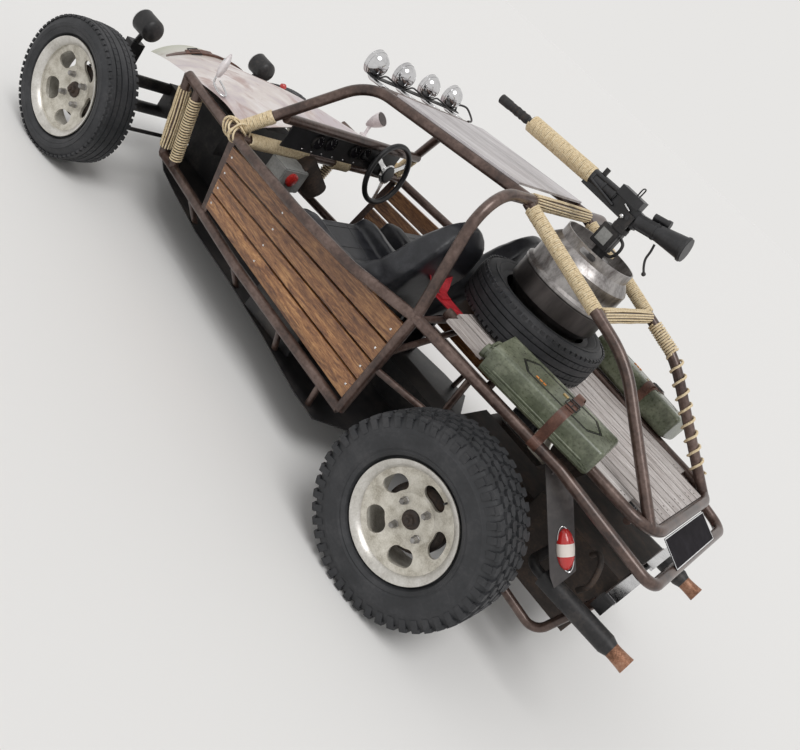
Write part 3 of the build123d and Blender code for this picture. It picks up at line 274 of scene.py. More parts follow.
boardLook = {"tones": ((0.16, 0.13, 0.115), (0.40, 0.355, 0.335), (0.60, 0.56, 0.54), (0.74, 0.70, 0.68)),
             "pitch": 0.0724, "stretch": (1.2, 18.0, 18.0)}
slatLook = {"tones": ((0.040, 0.015, 0.008), (0.185, 0.074, 0.030), (0.370, 0.175, 0.068),
                      (0.60, 0.325, 0.130)),
            "pitch": 0.097, "stretch": (1.6, 11.0, 11.0)}
bonnetLook = {"cream": (0.66, 0.585, 0.55), "lilac": (0.52, 0.44, 0.46), "pale": (0.78, 0.73, 0.72),
              "stain": (0.36, 0.21, 0.18), "rust": (0.17, 0.075, 0.045), "green": (0.25, 0.29, 0.14),
              "nose": (2.34, 2.60)}
# keg bands are (height above the foot, share of the dark mix); the low stops under 1.0 lighten the band's
# lower edge, a painted highlight
kegLook = {"steel": (0.26, 0.245, 0.24), "bright": (0.42, 0.40, 0.39), "dirt": (0.115, 0.10, 0.095),
           "black": (0.022, 0.021, 0.022), "foot": 0.8,
           "bands": ((0.165, 0.75), (0.20, 1.0), (0.272, 1.0), (0.284, 0.05), (0.33, 0.0), (0.43, 0.0))}
plankFinish("greyBoard", boardLook["tones"], boardLook["pitch"], 1, boardLook["stretch"], 0.0, 0.72)
plankFinish("stainedSlat", slatLook["tones"], slatLook["pitch"], 2, slatLook["stretch"], 0.35, 0.36)
bonnetFinish(bonnetLook)
kegFinish(kegLook)
# dark, middle and light tone, size of the pattern, roughness, metallic, coat, relief (strength, height)
plain, smoothed = (0.15, 0.0006), (0.0, 0.0)
mottledLooks = {
    "rustTube": ((0.036, 0.021, 0.017), (0.088, 0.053, 0.042), (0.165, 0.112, 0.094),
                 7, 0.34, 0.4, 0.4, (0.22, 0.0006)),
    "blackSteel": ((0.010, 0.010, 0.011), (0.022, 0.021, 0.022), (0.055, 0.048, 0.044),
                   9, 0.45, 0.2, 0, plain),
    "blackPlastic": ((0.010, 0.010, 0.011), (0.018, 0.018, 0.020), (0.032, 0.032, 0.035),
                     12, 0.42, 0, 0, (0.06, 0.0003)),
    "panelPlastic": ((0.022, 0.019, 0.019), (0.040, 0.034, 0.034), (0.078, 0.068, 0.064),
                     3.5, 0.34, 0, 0.3, (0.08, 0.0006)),
    "castAlloy": ((0.36, 0.33, 0.27), (0.56, 0.53, 0.46), (0.70, 0.67, 0.60),
                  22, 0.42, 0.45, 0, (0.3, 0.0007)),
    # lighter and glossier than castAlloy: a painted highlight on the rim lips
    "lipHighlightAlloy": ((0.47, 0.45, 0.41), (0.60, 0.58, 0.54), (0.72, 0.70, 0.67),
                    16, 0.36, 0.55, 0, (0.06, 0.0004)),
    "nutSteel": ((0.16, 0.15, 0.14), (0.27, 0.26, 0.25), (0.38, 0.37, 0.36),
                 40, 0.38, 0.7, 0, plain),
    "polishedAlloy": ((0.55, 0.55, 0.55), (0.72, 0.72, 0.72), (0.82, 0.82, 0.82),
                      20, 0.2, 0.9, 0, (0.05, 0.0003)),
    "tyreRubber": ((0.016, 0.017, 0.019), (0.026, 0.027, 0.030), (0.045, 0.045, 0.048),
                   10, 0.62, 0, 0, (0.15, 0.0005)),
    "rustIron": ((0.018, 0.014, 0.012), (0.040, 0.030, 0.025), (0.085, 0.055, 0.040),
                 12, 0.68, 0.2, 0, plain),
    "chromeTrim": ((0.50, 0.50, 0.51), (0.64, 0.64, 0.65), (0.72, 0.72, 0.73),
                   9, 0.10, 1.0, 0, (0.03, 0.0003)),
    "blackLeather": ((0.010, 0.011, 0.014), (0.017, 0.018, 0.022), (0.030, 0.031, 0.037),
                     30, 0.36, 0, 0, (0.22, 0.0004)),
    "brownLeather": ((0.050, 0.022, 0.015), (0.105, 0.045, 0.030), (0.170, 0.080, 0.055),
                     26, 0.45, 0, 0, (0.2, 0.0004)),
    "ropeFibre": ((0.50, 0.375, 0.21), (0.74, 0.60, 0.385), (0.86, 0.75, 0.545),
                  130, 0.85, 0, 0, (0.7, 0.0008)),
    "olivePaint": ((0.052, 0.060, 0.036), (0.092, 0.106, 0.064), (0.200, 0.215, 0.150),
                   9, 0.30, 0, 0.4, plain),
    "sheetPaint": ((0.30, 0.27, 0.275), (0.48, 0.45, 0.455), (0.62, 0.59, 0.60),
                   5, 0.46, 0.1, 0.2, plain),
    "creamPaint": ((0.52, 0.46, 0.47), (0.70, 0.64, 0.64), (0.80, 0.76, 0.77),
                   12, 0.4, 0, 0.3, plain),
    "copperTip": ((0.13, 0.060, 0.035), (0.33, 0.165, 0.10), (0.50, 0.30, 0.21),
                  22, 0.45, 0.6, 0, plain),
    "redWeb": ((0.22, 0.006, 0.012), (0.42, 0.012, 0.022), (0.55, 0.030, 0.040),
               40, 0.7, 0, 0, (0.4, 0.0006)),
    "redPaint": ((0.25, 0.012, 0.010), (0.45, 0.020, 0.016), (0.55, 0.035, 0.030),
                 14, 0.3, 0, 0.5, plain),
    "brassBit": ((0.35, 0.24, 0.10), (0.55, 0.41, 0.19), (0.66, 0.52, 0.28),
                 20, 0.35, 0.8, 0, plain),
    "orangeTag": ((0.45, 0.13, 0.02), (0.62, 0.22, 0.04), (0.70, 0.30, 0.08),
                  30, 0.6, 0, 0, plain),
    "mirrorGlass": ((0.06, 0.05, 0.05), (0.08, 0.065, 0.062), (0.11, 0.09, 0.085),
                    6, 0.08, 0.6, 0, smoothed),
    "lampGlass": ((0.60, 0.62, 0.63), (0.68, 0.70, 0.71), (0.75, 0.77, 0.78),
                  6, 0.06, 0.7, 0, smoothed),
    "plateBlack": ((0.008, 0.007, 0.009), (0.012, 0.010, 0.013), (0.02, 0.018, 0.022),
                   20, 0.75, 0, 0, smoothed),
    "plateWhite": ((0.62, 0.62, 0.62), (0.74, 0.74, 0.74), (0.80, 0.80, 0.80),
                   20, 0.4, 0, 0, smoothed),
    "greyBox": ((0.16, 0.16, 0.15), (0.24, 0.24, 0.23), (0.33, 0.33, 0.32),
                12, 0.5, 0, 0, plain),
}
stretches = {"sheetPaint": (0.5, 3.0, 1.0)}
for finish, (dark, middle, light, scale, roughness, metallic, coat, relief) in mottledLooks.items():
    stretch = stretches.get(finish, (1, 1, 1))
    shader = mottled(finish, (dark, middle, light), scale, roughness, metallic, coat, stretch, relief)
    if finish == "plateBlack":
        shader.inputs["Specular IOR Level"].default_value = 0.1
lensLook = {"corner": (-0.170, 0.5, 0.703), "across": (-0.8435, -0.5371, 0.0),
            "down": (-0.738, 0.0, -0.675), "acrossAt": 0.074, "downAt": 0.188, "half": 0.021,
            "red": (0.50, 0.020, 0.018), "white": (0.78, 0.70, 0.64)}
down = Vector(lensLook["down"]).normalized()
lampMiddle = spot(*lensLook["corner"]) + Vector(lensLook["across"]) * lensLook["acrossAt"]
lampMiddle += Vector(lensLook["down"]) * lensLook["downAt"]
bandedLens({**lensLook, "down": tuple(down), "middle": down.dot(lampMiddle)})

nodeFinish = {
    "rustTube": "side_frame_left side_frame_right main_hoop screen_frame rear_cage rear_rails deck_loop"
                " engine_guards",
    "blackSteel": "floor_pan front_beam knuckle_left knuckle_right tie_rod front_tank levers gun_post"
                  " gun_yoke headlamps exhausts",
    "rustIron": "drum_fl drum_fr drum_rl drum_rr rear_axle engine_block",
    "castAlloy": "rim_fl rim_fr rim_rl rim_rr", "blackPlastic": "steering_column dash_panel gun",
    "greyBoard": "deck_boards", "stainedSlat": "side_slats", "bonnetPaint": "bonnet", "kegSteel": "keg",
    "panelPlastic": "tail_panels", "brownLeather": "bonnet_strap", "olivePaint": "fuel_cans",
    "sheetPaint": "roof_panel", "chromeTrim": "roof_lamps", "creamPaint": "mirrors",
    "bandedLens": "tail_lamps",
    "plateBlack": "number_plate",
}
for finish, names in nodeFinish.items():
    for name in names.split():
        for place in nodes[name].material_slots:
            place.material = finishes[finish]
print("finishes:", len(finishes))


# shapes: each helper adds to a bmesh, and shape() makes one named piece of them
def basis(axis):
    axis = Vector(axis).normalized()
    side = axis.orthogonal().normalized()
    return axis, side, axis.cross(side)


def addTurned(bm, centre, axis, profile, sides=32, loop=False):
    # profile: (radius, distance along the axis); a closed loop makes a ring
    axis, side, other = basis(axis)
    rows = []
    for radius, along in profile:
        middle = Vector(centre) + axis * along
        if radius < 1e-6:
            rows.append([bm.verts.new(middle)])
            continue
        around = [side * math.cos(a) + other * math.sin(a) for a in turns(sides)]
        rows.append([bm.verts.new(middle + way * radius) for way in around])
    for near, far in zip(rows, rows[1:] + (rows[:1] if loop else [])):
        for k in range(sides):
            n = k + 1
            corners = [near[k % len(near)], near[n % len(near)], far[n % len(far)], far[k % len(far)]]
            face = list(dict.fromkeys(corners))
            if len(face) > 2:
                bm.faces.new(face)


def addRod(bm, start, end, radius, sides=16):
    length = (end - start).length
    addTurned(bm, start, end - start, [(0, 0), (radius, 0), (radius, length), (0, length)], sides)


def addBall(bm, centre, radius, sides=20, flat=1.0):
    rows = 10
    bends = [math.pi * k / rows for k in range(rows + 1)]
    profile = [(radius * math.sin(a), -radius * flat * math.cos(a)) for a in bends]
    profile[0], profile[-1] = (0, profile[0][1]), (0, profile[-1][1])
    addTurned(bm, centre, (0, 0, 1), profile, sides)


def addBox(bm, centre, size, along=(1, 0, 0), up=(0, 0, 1)):
    along = Vector(along).normalized()
    across = Vector(up).cross(along).normalized()
    up = along.cross(across)
    verts = [bm.verts.new(centre + along * size[0] * i / 2 + across * size[1] * j / 2 + up * size[2] * k / 2)
             for i in (-1, 1) for j in (-1, 1) for k in (-1, 1)]
    for face in ((0, 1, 3, 2), (4, 6, 7, 5), (0, 4, 5, 1), (2, 3, 7, 6), (0, 2, 6, 4), (1, 5, 7, 3)):
        bm.faces.new([verts[i] for i in face])


def curved(points, steps=6):
    ends = [points[0] * 2 - points[1]] + points + [points[-1] * 2 - points[-2]]
    result = []
    for a, b, c, d in zip(ends, ends[1:], ends[2:], ends[3:]):
        for t in (k / steps for k in range(steps)):
            squared, cubed = a * 2 - b * 5 + c * 4 - d, b * 3 - a - c * 3 + d
            result.append(((b * 2) + (c - a) * t + squared * t * t + cubed * t ** 3) / 2)
    return result + [points[-1]]


def addSwept(bm, points, section, up=(0, 0, 1), loop=False):
    # section: (across, up) corners swept along the points, kept upright
    rows = []
    last = len(points) - 1
    for i, point in enumerate(points):
        before = points[i - 1] if (i or loop) else point
        after = points[(i + 1) % len(points)] if (i < last or loop) else point
        ahead = (after - before).normalized()
        across = Vector(up).cross(ahead).normalized()
        top = ahead.cross(across)
        rows.append([bm.verts.new(point + across * a + top * b) for a, b in section])
    count = len(section)
    for near, far in zip(rows, rows[1:] + (rows[:1] if loop else [])):
        for k in range(count):
            n = (k + 1) % count
            bm.faces.new([near[k], near[n], far[n], far[k]])
    if not loop:
        bm.faces.new(rows[0])
        bm.faces.new(list(reversed(rows[-1])))


def addPipe(bm, points, radius, sides=10, steps=6):
    points = curved(points, steps)
    steep = max(abs((b - a).normalized().z) for a, b in zip(points, points[1:])) > 0.96
    addSwept(bm, points, roundSection(radius, sides), (0.3, 0.9, 0.1) if steep else (0, 0, 1))


def addPlate(bm, outline, centre, across, up, thickness):
    # a flat outline in the (across, up) plane, given a thickness centred on it
    across, up = Vector(across).normalized(), Vector(up).normalized()
    offset = across.cross(up) * (thickness / 2)
    sheets = [[bm.verts.new(centre + across * a + up * b + offset * d) for a, b in outline] for d in (-1, 1)]
    bm.faces.new(list(reversed(sheets[0])))
    bm.faces.new(sheets[1])
    for k in range(len(outline)):
        n = (k + 1) % len(outline)
        bm.faces.new([sheets[0][k], sheets[0][n], sheets[1][n], sheets[1][k]])


def addObject(name, data):
    holder = bpy.data.objects.new(name, data)
    bpy.context.scene.collection.objects.link(holder)
    return holder


def toMesh(bm, name):
    mesh = bpy.data.meshes.new(name)
    bm.to_mesh(mesh)
    bm.free()
    return mesh


def fromMesh(mesh):
    bm = bmesh.new()
    bm.from_mesh(mesh)
    return bm


def evaluated(holder):
    # a plain mesh of the holder with its modifier applied; modifier and holder go
    graph = bpy.context.evaluated_depsgraph_get()
    mesh = bpy.data.meshes.new_from_object(holder.evaluated_get(graph), depsgraph=graph)
    holder.modifiers.clear()
    bpy.data.objects.remove(holder)
    return mesh


def showPiece(name, mesh, finish, body, smooth=38):
    mesh.materials.clear()
    mesh.materials.append(finishes[finish])
    mesh.shade_smooth()
    mesh.set_sharp_from_angle(angle=math.radians(smooth))
    piece = addObject(name, mesh)
    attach(piece, body)
    return piece


def finishShape(bm, name, finish, body="chassis", smooth=38, bevel=0.0):
    bmesh.ops.remove_doubles(bm, verts=bm.verts, dist=1e-6)
    bmesh.ops.recalc_face_normals(bm, faces=bm.faces)
    if bevel:
        sharp = [e for e in bm.edges if len(e.link_faces) == 2 and e.calc_face_angle(0) > math.radians(50)]
        bmesh.ops.bevel(bm, geom=sharp, offset=bevel, segments=2, affect="EDGES", clamp_overlap=True)
    return showPiece(name, toMesh(bm, name), finish, body, smooth)


def shape(name, finish, parts, body="chassis", smooth=38, bevel=0.0):
    # parts: a helper and its values after the bmesh
    bm = bmesh.new()
    for helper, *values in parts:
        helper(bm, *values)
    return finishShape(bm, name, finish, body, smooth, bevel)


# geometry nodes: small trees for what repeats or follows a path
def newTree(name, inputs):
    tree = bpy.data.node_groups.new(name, "GeometryNodeTree")
    tree.is_modifier = True
    for label, kind, value in [("Geometry", "Geometry", None)] + inputs + [("Finish", "Material", None)]:
        socket = tree.interface.new_socket(label, in_out="INPUT", socket_type="NodeSocket" + kind)
        if value is not None:
            socket.default_value = value
    tree.interface.new_socket("Geometry", in_out="OUTPUT", socket_type="NodeSocketGeometry")
    return tree, tree.nodes.new("NodeGroupInput").outputs, tree.nodes.new("NodeGroupOutput")


def put(tree, kind, settings=None, **sockets):
    # a socket's name, or s and its number
    node = tree.nodes.new(kind)
    for key, value in (settings or {}).items():
        setattr(node, key, value)
    for key, value in sockets.items():
        socket = node.inputs[int(key[1:])] if key[0] == "s" and key[1:].isdigit() else node.inputs[key]
        if isinstance(value, bpy.types.NodeSocket):
            tree.links.new(value, socket)
        else:
            socket.default_value = value
    return node


def calc(tree, operation, first, second=0.0):
    return put(tree, "ShaderNodeMath", {"operation": operation}, s0=first, s1=second).outputs[0]


def vecCalc(tree, operation, first, second):
    return put(tree, "ShaderNodeVectorMath", {"operation": operation}, s0=first, s1=second).outputs[0]


def scaled(tree, vector, factor):
    return put(tree, "ShaderNodeVectorMath", {"operation": "SCALE"}, s0=vector, Scale=factor).outputs[0]


def combined(tree, x, y, z):
    return put(tree, "ShaderNodeCombineXYZ", X=x, Y=y, Z=z).outputs[0]


def closeTree(tree, geometry, given, outs):
    real = put(tree, "GeometryNodeRealizeInstances", Geometry=geometry)
    paint = put(tree, "GeometryNodeSetMaterial", Geometry=real.outputs[0], Material=given["Finish"])
    tree.links.new(paint.outputs[0], outs.inputs[0])
    return tree


def roped(tree, curve, sides, given, outs):
    ring = put(tree, "GeometryNodeCurvePrimitiveCircle", Resolution=sides, Radius=given["Rope Radius"])
    rope = put(tree, "GeometryNodeCurveToMesh", Curve=curve, s1=ring.outputs[0])
    rope.inputs["Fill Caps"].default_value = True
    return closeTree(tree, rope.outputs[0], given, outs)


def grown(seed, tree, values):
    # evaluates the tree on a seed mesh and keeps the result as a plain mesh
    holder = addObject("seed", seed)
    modifier = holder.modifiers.new("grow", "NODES")
    modifier.node_group = tree
    sockets = {item.name: item.identifier for item in tree.interface.items_tree if item.in_out == "INPUT"}
    for label, value in values.items():
        modifier[sockets[label]] = finishes[value] if label == "Finish" else value
    return evaluated(holder)


def grow(name, seed, tree, values, body="chassis", smooth=45):
    mesh = grown(seed, tree, values)
    mesh.name = name
    return showPiece(name, mesh, values["Finish"], body, smooth)


def pathMesh(paths):
    verts, edges = [], []
    for path in paths:
        first = len(verts)
        verts.extend([tuple(p) for p in path])
        edges.extend((i, i + 1) for i in range(first, len(verts) - 1))
    mesh = bpy.data.meshes.new("path")
    mesh.from_pydata(verts, edges, [])
    return mesh


def screws(name, points, facings, radius, dome, finish, sides=10, body="chassis"):
    # a domed head on every point, its top along the point's facing
    mesh = bpy.data.meshes.new("points")
    mesh.from_pydata([tuple(p) for p in points], [], [])
    facing = mesh.attributes.new("facing", "FLOAT_VECTOR", "POINT")
    for item, vector in zip(facing.data, facings):
        item.vector = vector
    values = {"Head Radius": radius, "Dome": dome, "Sides": sides, "Finish": finish}
    return grow(name, mesh, heads, values, body)


def windingTree():
    tree, given, outs = newTree("ropeWinding", [
        ("Wind Radius", "Float", 0.0245), ("Rope Radius", "Float", 0.0035), ("Pitch", "Float", 0.007),
        ("Looseness", "Float", 0.001), ("Start Turn", "Float", 0.0)])
    line = put(tree, "GeometryNodeMeshToCurve", Mesh=given["Geometry"])
    step = calc(tree, "DIVIDE", given["Pitch"], 11.0)
    fine = put(tree, "GeometryNodeResampleCurve", {"mode": "LENGTH"}, Curve=line.outputs[0], Length=step)
    along = put(tree, "GeometryNodeSplineParameter").outputs["Length"]
    wound = calc(tree, "MULTIPLY", calc(tree, "DIVIDE", along, given["Pitch"]), 2 * math.pi)
    angle = calc(tree, "ADD", wound, given["Start Turn"])
    ahead = put(tree, "GeometryNodeInputTangent").outputs[0]
    side = put(tree, "GeometryNodeInputNormal").outputs[0]
    other = vecCalc(tree, "CROSS_PRODUCT", ahead, side)
    place = calc(tree, "MULTIPLY", along, 90.0)
    wobble = put(tree, "ShaderNodeTexNoise", {"noise_dimensions": "1D"}, W=place, Detail=1.0).outputs[0]
    slack = calc(tree, "MULTIPLY", calc(tree, "SUBTRACT", wobble, 0.5), given["Looseness"])
    reach = calc(tree, "ADD", given["Wind Radius"], calc(tree, "ABSOLUTE", slack))
    first = scaled(tree, side, calc(tree, "MULTIPLY", calc(tree, "COSINE", angle), reach))
    second = scaled(tree, other, calc(tree, "MULTIPLY", calc(tree, "SINE", angle), reach))
    third = scaled(tree, ahead, calc(tree, "MULTIPLY", slack, 2.0))
    offset = vecCalc(tree, "ADD", vecCalc(tree, "ADD", first, second), third)
    moved = put(tree, "GeometryNodeSetPosition", Geometry=fine.outputs[0], Offset=offset)
    return roped(tree, moved.outputs[0], 6, given, outs)


def strandTree():
    tree, given, outs = newTree("ropeStrand", [("Rope Radius", "Float", 0.0035)])
    line = put(tree, "GeometryNodeMeshToCurve", Mesh=given["Geometry"])
    return roped(tree, line.outputs[0], 8, given, outs)


def headTree():
    tree, given, outs = newTree("screwHeads", [
        ("Head Radius", "Float", 0.004), ("Dome", "Float", 0.5), ("Sides", "Int", 10)])
    ball = put(tree, "GeometryNodeMeshUVSphere", Segments=given["Sides"], Rings=6,
               Radius=given["Head Radius"])
    flatten = combined(tree, 1.0, 1.0, given["Dome"])
    dome = put(tree, "GeometryNodeTransform", Geometry=ball.outputs[0], Scale=flatten)
    facing = put(tree, "GeometryNodeInputNamedAttribute", {"data_type": "FLOAT_VECTOR"}, Name="facing")
    turned = put(tree, "FunctionNodeAlignRotationToVector", {"axis": "Z"}, Vector=facing.outputs[0])
    points = put(tree, "GeometryNodeMeshToPoints", Mesh=given["Geometry"])
    copies = put(tree, "GeometryNodeInstanceOnPoints", Points=points.outputs[0],
                 Instance=dome.outputs[0], Rotation=turned.outputs[0])
    return closeTree(tree, copies.outputs[0], given, outs)


def lugTree():
    # copies of one block round the Y axis: a row of tread, ribs on a sidewall, nuts on a circle
    tree, given, outs = newTree("lugRow", [
        ("Block", "Object", None), ("Count", "Int", 44), ("Reach", "Float", 0.35), ("Across", "Float", 0.0),
        ("Start", "Float", 0.0), ("Flip", "Float", 1.0)])
    points = put(tree, "GeometryNodePoints", Count=given["Count"])
    number = put(tree, "GeometryNodeInputIndex").outputs[0]
    step = calc(tree, "DIVIDE", 2 * math.pi, given["Count"])
    angle = calc(tree, "ADD", calc(tree, "MULTIPLY", number, step), given["Start"])
    x = calc(tree, "MULTIPLY", calc(tree, "COSINE", angle), given["Reach"])
    z = calc(tree, "MULTIPLY", calc(tree, "SINE", angle), given["Reach"])
    place = combined(tree, x, given["Across"], z)
    moved = put(tree, "GeometryNodeSetPosition", Geometry=points.outputs[0], Position=place)
    turn = combined(tree, 0.0, calc(tree, "MULTIPLY", angle, -1.0), 0.0)
    block = put(tree, "GeometryNodeObjectInfo", Object=given["Block"])
    size = combined(tree, 1.0, given["Flip"], 1.0)
    copies = put(tree, "GeometryNodeInstanceOnPoints", Points=moved.outputs[0],
                 Instance=block.outputs["Geometry"], Rotation=turn, Scale=size)
    return closeTree(tree, copies.outputs[0], given, outs)


winding, strand, heads, lugs = windingTree(), strandTree(), headTree(), lugTree()
print("node trees ready")


# tyres: a turned carcass, with every block and rib of the tread grown round it
def blockShape(outline, low, high):
    # a prism on the (across, along) outline, reaching outwards from low to high
    mesh = bpy.data.meshes.new("block")
    count, taper = len(outline), 0.93
    verts = [(low, a, b) for a, b in outline] + [(high, a * taper, b * taper) for a, b in outline]
    faces = [tuple(range(count))[::-1], tuple(range(count, 2 * count))]
    faces += [(k, (k + 1) % count, count + (k + 1) % count, count + k) for k in range(count)]
    mesh.from_pydata(verts, [], faces)
    bm = fromMesh(mesh)
    bmesh.ops.recalc_face_normals(bm, faces=bm.faces)
    bm.to_mesh(mesh)
    bm.free()
    return addObject("block", mesh)


def ringOf(block, count, reach, across, start=0.0, flip=1.0, finish="tyreRubber"):
    values = {"Block": block, "Count": count, "Reach": reach, "Across": across, "Start": start, "Flip": flip,
              "Finish": finish}
    return grown(bpy.data.meshes.new("seed"), lugs, values)


# tread blocks: outline (across, along), root, crown, drop below the tyre's radius, place across the tread,
# start at the left and at the right as a share of one pitch
def offRoadBlocks(half):
    return (
        (((-0.016, -0.017), (0.004, -0.021), (0.016, -0.012), (0.016, 0.012), (0.006, 0.020),
          (-0.010, 0.016)),
         -0.003, 0.010, 0.010, 0.020, 0.0, 0.5),
        (((-0.015, -0.014), (0.010, -0.020), (0.016, -0.004), (0.014, 0.019), (-0.008, 0.016),
          (-0.016, 0.004)),
         -0.003, 0.0095, 0.010, 0.056, 0.30, 0.8),
        (((-0.016, -0.017), (0.020, -0.014), (0.020, 0.015), (0.002, 0.018), (-0.016, 0.008)),
         -0.006, 0.008, 0.0135, 0.089, 0.65, 0.15),
        (((-0.005, -0.013), (0.004, -0.013), (0.004, 0.011), (-0.005, 0.011)),
         -0.020, 0.012, 0.030, half - 0.0075, 0.65, 0.15),
    )


def roadBlocks(half):
    pitch = 2 * math.pi / 64
    return (
        (((-0.010, -0.0105), (0.012, -0.0085), (0.012, 0.0115), (-0.010, 0.0095)),
         -0.006, 0.003, 0.007, half - 0.025, 0.0, 0.04 / pitch),
        (((-0.010, -0.011), (0.010, -0.008), (0.010, 0.0125), (-0.010, 0.0095)),
         -0.003, 0.0012, 0.0012, (half - 0.028) * 0.49, 0.03 / pitch, 0.0),
    )


# half a section, bead to crown, as (radius, distance from the middle)
def sidewall(look):
    bead, seat, half = look["bead"], look["seat"], look["half"]
    rows = [(bead, seat - 0.010), (bead, seat), (bead + 0.022, seat + 0.001), (bead + 0.030, half - 0.012)]
    rows += [(bead + out, half - back) for out, back in look["wall"]]
    return rows + [(look["radius"] - drop, half - back) for drop, back in look["shoulder"]]


def roadSection(look):
    # ribs and grooves of the crown follow the side wall
    r, edge = look["radius"], look["half"] - 0.028
    rows = sidewall(look)
    for a, b in ((1.0, 0.74), (0.66, 0.32), (0.22, 0.0)):
        rows += [(r - 0.002 * a, edge * a), (r - 0.001, edge * b)]
        if b:
            rows += [(r - 0.009, edge * (b - 0.015)), (r - 0.009, edge * (b - 0.065))]
    return rows


def offRoadSection(look):
    return sidewall(look) + [(look["radius"] - 0.0095, 0.0)]


roadWall = {"wall": ((0.046, 0.004), (0.050, 0.0052), (0.056, 0.001), (0.068, 0.0)),
            "shoulder": ((0.040, 0.004), (0.026, 0.010), (0.014, 0.017), (0.006, 0.026)),
            "bead": 0.1906, "belt": 0.022, "count": 64, "blocks": roadBlocks, "section": roadSection}
frontTyre = {**roadWall, "radius": 0.300, "half": 0.089, "seat": 0.059, "face": 0.631}
spareTyre = {**roadWall, "radius": 0.298, "half": 0.083, "seat": 0.062}
rearTyre = {"wall": ((0.042, 0.004), (0.047, 0.0055), (0.054, 0.001), (0.075, 0.0), (0.104, 0.0005),
                     (0.108, 0.003), (0.128, 0.006)),
            "shoulder": ((0.022, 0.014), (0.013, 0.022), (0.010, 0.040)),
            "bead": 0.1906, "belt": 0.030, "count": 46, "blocks": offRoadBlocks, "section": offRoadSection,
            "radius": 0.360, "half": 0.116, "seat": 0.081, "face": 0.715}


def tyre(name, node, look, body, turn):
    bm = bmesh.new()
    rows = look["section"](look)
    (first, _), (_, seat) = rows[:2]
    inside = [(first + 0.04, seat + 0.005), (look["radius"] - look["belt"], seat + 0.004)]
    outside = rows + [(r, -y) for r, y in reversed(rows) if y > 0]
    closing = [(r, -y) for r, y in inside] + inside[::-1]
    addTurned(bm, (0, 0, 0), (0, 1, 0), outside + closing, 96, True)
    bmesh.ops.recalc_face_normals(bm, faces=bm.faces)
    blocks = look["blocks"](look["half"])
    shapes = [blockShape(*block[:3]) for block in blocks]
    pitch = 2 * math.pi / look["count"]
    for side in (1, -1):
        for block, (_, _, _, drop, across, left, right) in zip(shapes, blocks):
            start = pitch * (left if side > 0 else right)
            ring = ringOf(block, look["count"], look["radius"] - drop, side * across, start, side)
            bm.from_mesh(ring)
            bpy.data.meshes.remove(ring)
    for block in shapes:
        bpy.data.objects.remove(block)
    bm.transform(turn)
    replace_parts(showPiece(name, toMesh(bm, name), "tyreRubber", body, smooth=30), node)


hubLook = {"cap": [(0, 0.0), (0.0330, 0.0), (0.0330, 0.017), (0.028, 0.021), (0.018, 0.023), (0, 0.023)],
           "nut": [(0, 0.020), (0.0195, 0.020), (0.0195, 0.034), (0.0175, 0.037), (0.010, 0.037),
                   (0.009, 0.044), (0, 0.045)],
           "wheelNut": [(0, -0.004), (0.0150, -0.004), (0.0150, 0.002), (0.0125, 0.004), (0.0125, 0.020),
                        (0.009, 0.027), (0, 0.029)],
           "lip": [(0.2074, -0.0006), (0.2040, -0.0008), (0.1834, 0.0116), (0.1776, 0.0240),
                   (0.1784, 0.0250), (0.1846, 0.0128), (0.2050, 0.0006)],
           "nuts": 4, "nutCircle": 0.065, "valveTurn": 1.9, "valveReach": 0.168,
           "valve": (0.012, 0.040, 0.004)}
rearWheel = {"x": 0.0, "z": 0.360, "hub": 0.745, "face": 0.758, "first": 27.0, "outer": 0.813,
             "look": rearTyre}
frontWheel = {"x": 2.4, "z": 0.300, "hub": 0.632, "face": 0.645, "first": 45.0, "outer": 0.707,
              "look": frontTyre}
wheelSites = {"rl": (rearWheel, 1), "rr": (rearWheel, -1), "fl": (frontWheel, 1), "fr": (frontWheel, -1)}
bm = bmesh.new()
addTurned(bm, (0, 0, 0), (0, 1, 0), hubLook["wheelNut"], 6)
bmesh.ops.remove_doubles(bm, verts=bm.verts, dist=1e-6)
bmesh.ops.recalc_face_normals(bm, faces=bm.faces)
nut = addObject("nut", toMesh(bm, "nut"))
for mark, (site, side) in wheelSites.items():
    def onWheel(y):
        return spot(site["x"], side * y, site["z"])

    body, look = "wheel_" + mark, site["look"]
    tyre("tyreTread_" + mark, "tyre_" + mark, look, body, Matrix.Translation(onWheel(look["face"])))
    first = math.radians(site["first"] * side)
    ring = ringOf(nut, hubLook["nuts"], hubLook["nutCircle"], 0.0, first, finish="nutSteel")
    ring.transform(Matrix.Translation(onWheel(site["face"])) @ Matrix.Diagonal((1, side, 1, 1)))
    finishShape(fromMesh(ring), "wheelNuts_" + mark, "nutSteel", body, smooth=30)
    centre = onWheel(site["hub"])
    hubParts = [(addTurned, centre, (0, side, 0), hubLook["cap"], 32),
                (addTurned, centre, (0, side, 0), hubLook["nut"], 6)]
    shape("hubCentre_" + mark, "rustIron", hubParts, body, smooth=30)
    near, far, thick = hubLook["valve"]
    turn = hubLook["valveTurn"]
    valve = Vector((math.cos(turn), 0, math.sin(turn))) * hubLook["valveReach"]
    foot, tip = onWheel(site["face"] + near) + valve, onWheel(site["face"] + far) + valve * 0.97
    shape("valve_" + mark, "blackPlastic", [(addRod, foot, tip, thick, 10)], body)
bpy.data.objects.remove(nut)
tyre("spareTread", "spare_tyre", spareTyre, "chassis",
     Matrix.Translation(spot(0.385, 0, 0.897)) @ Matrix.Rotation(math.radians(90), 4, "X"))
print("tyres and wheels")


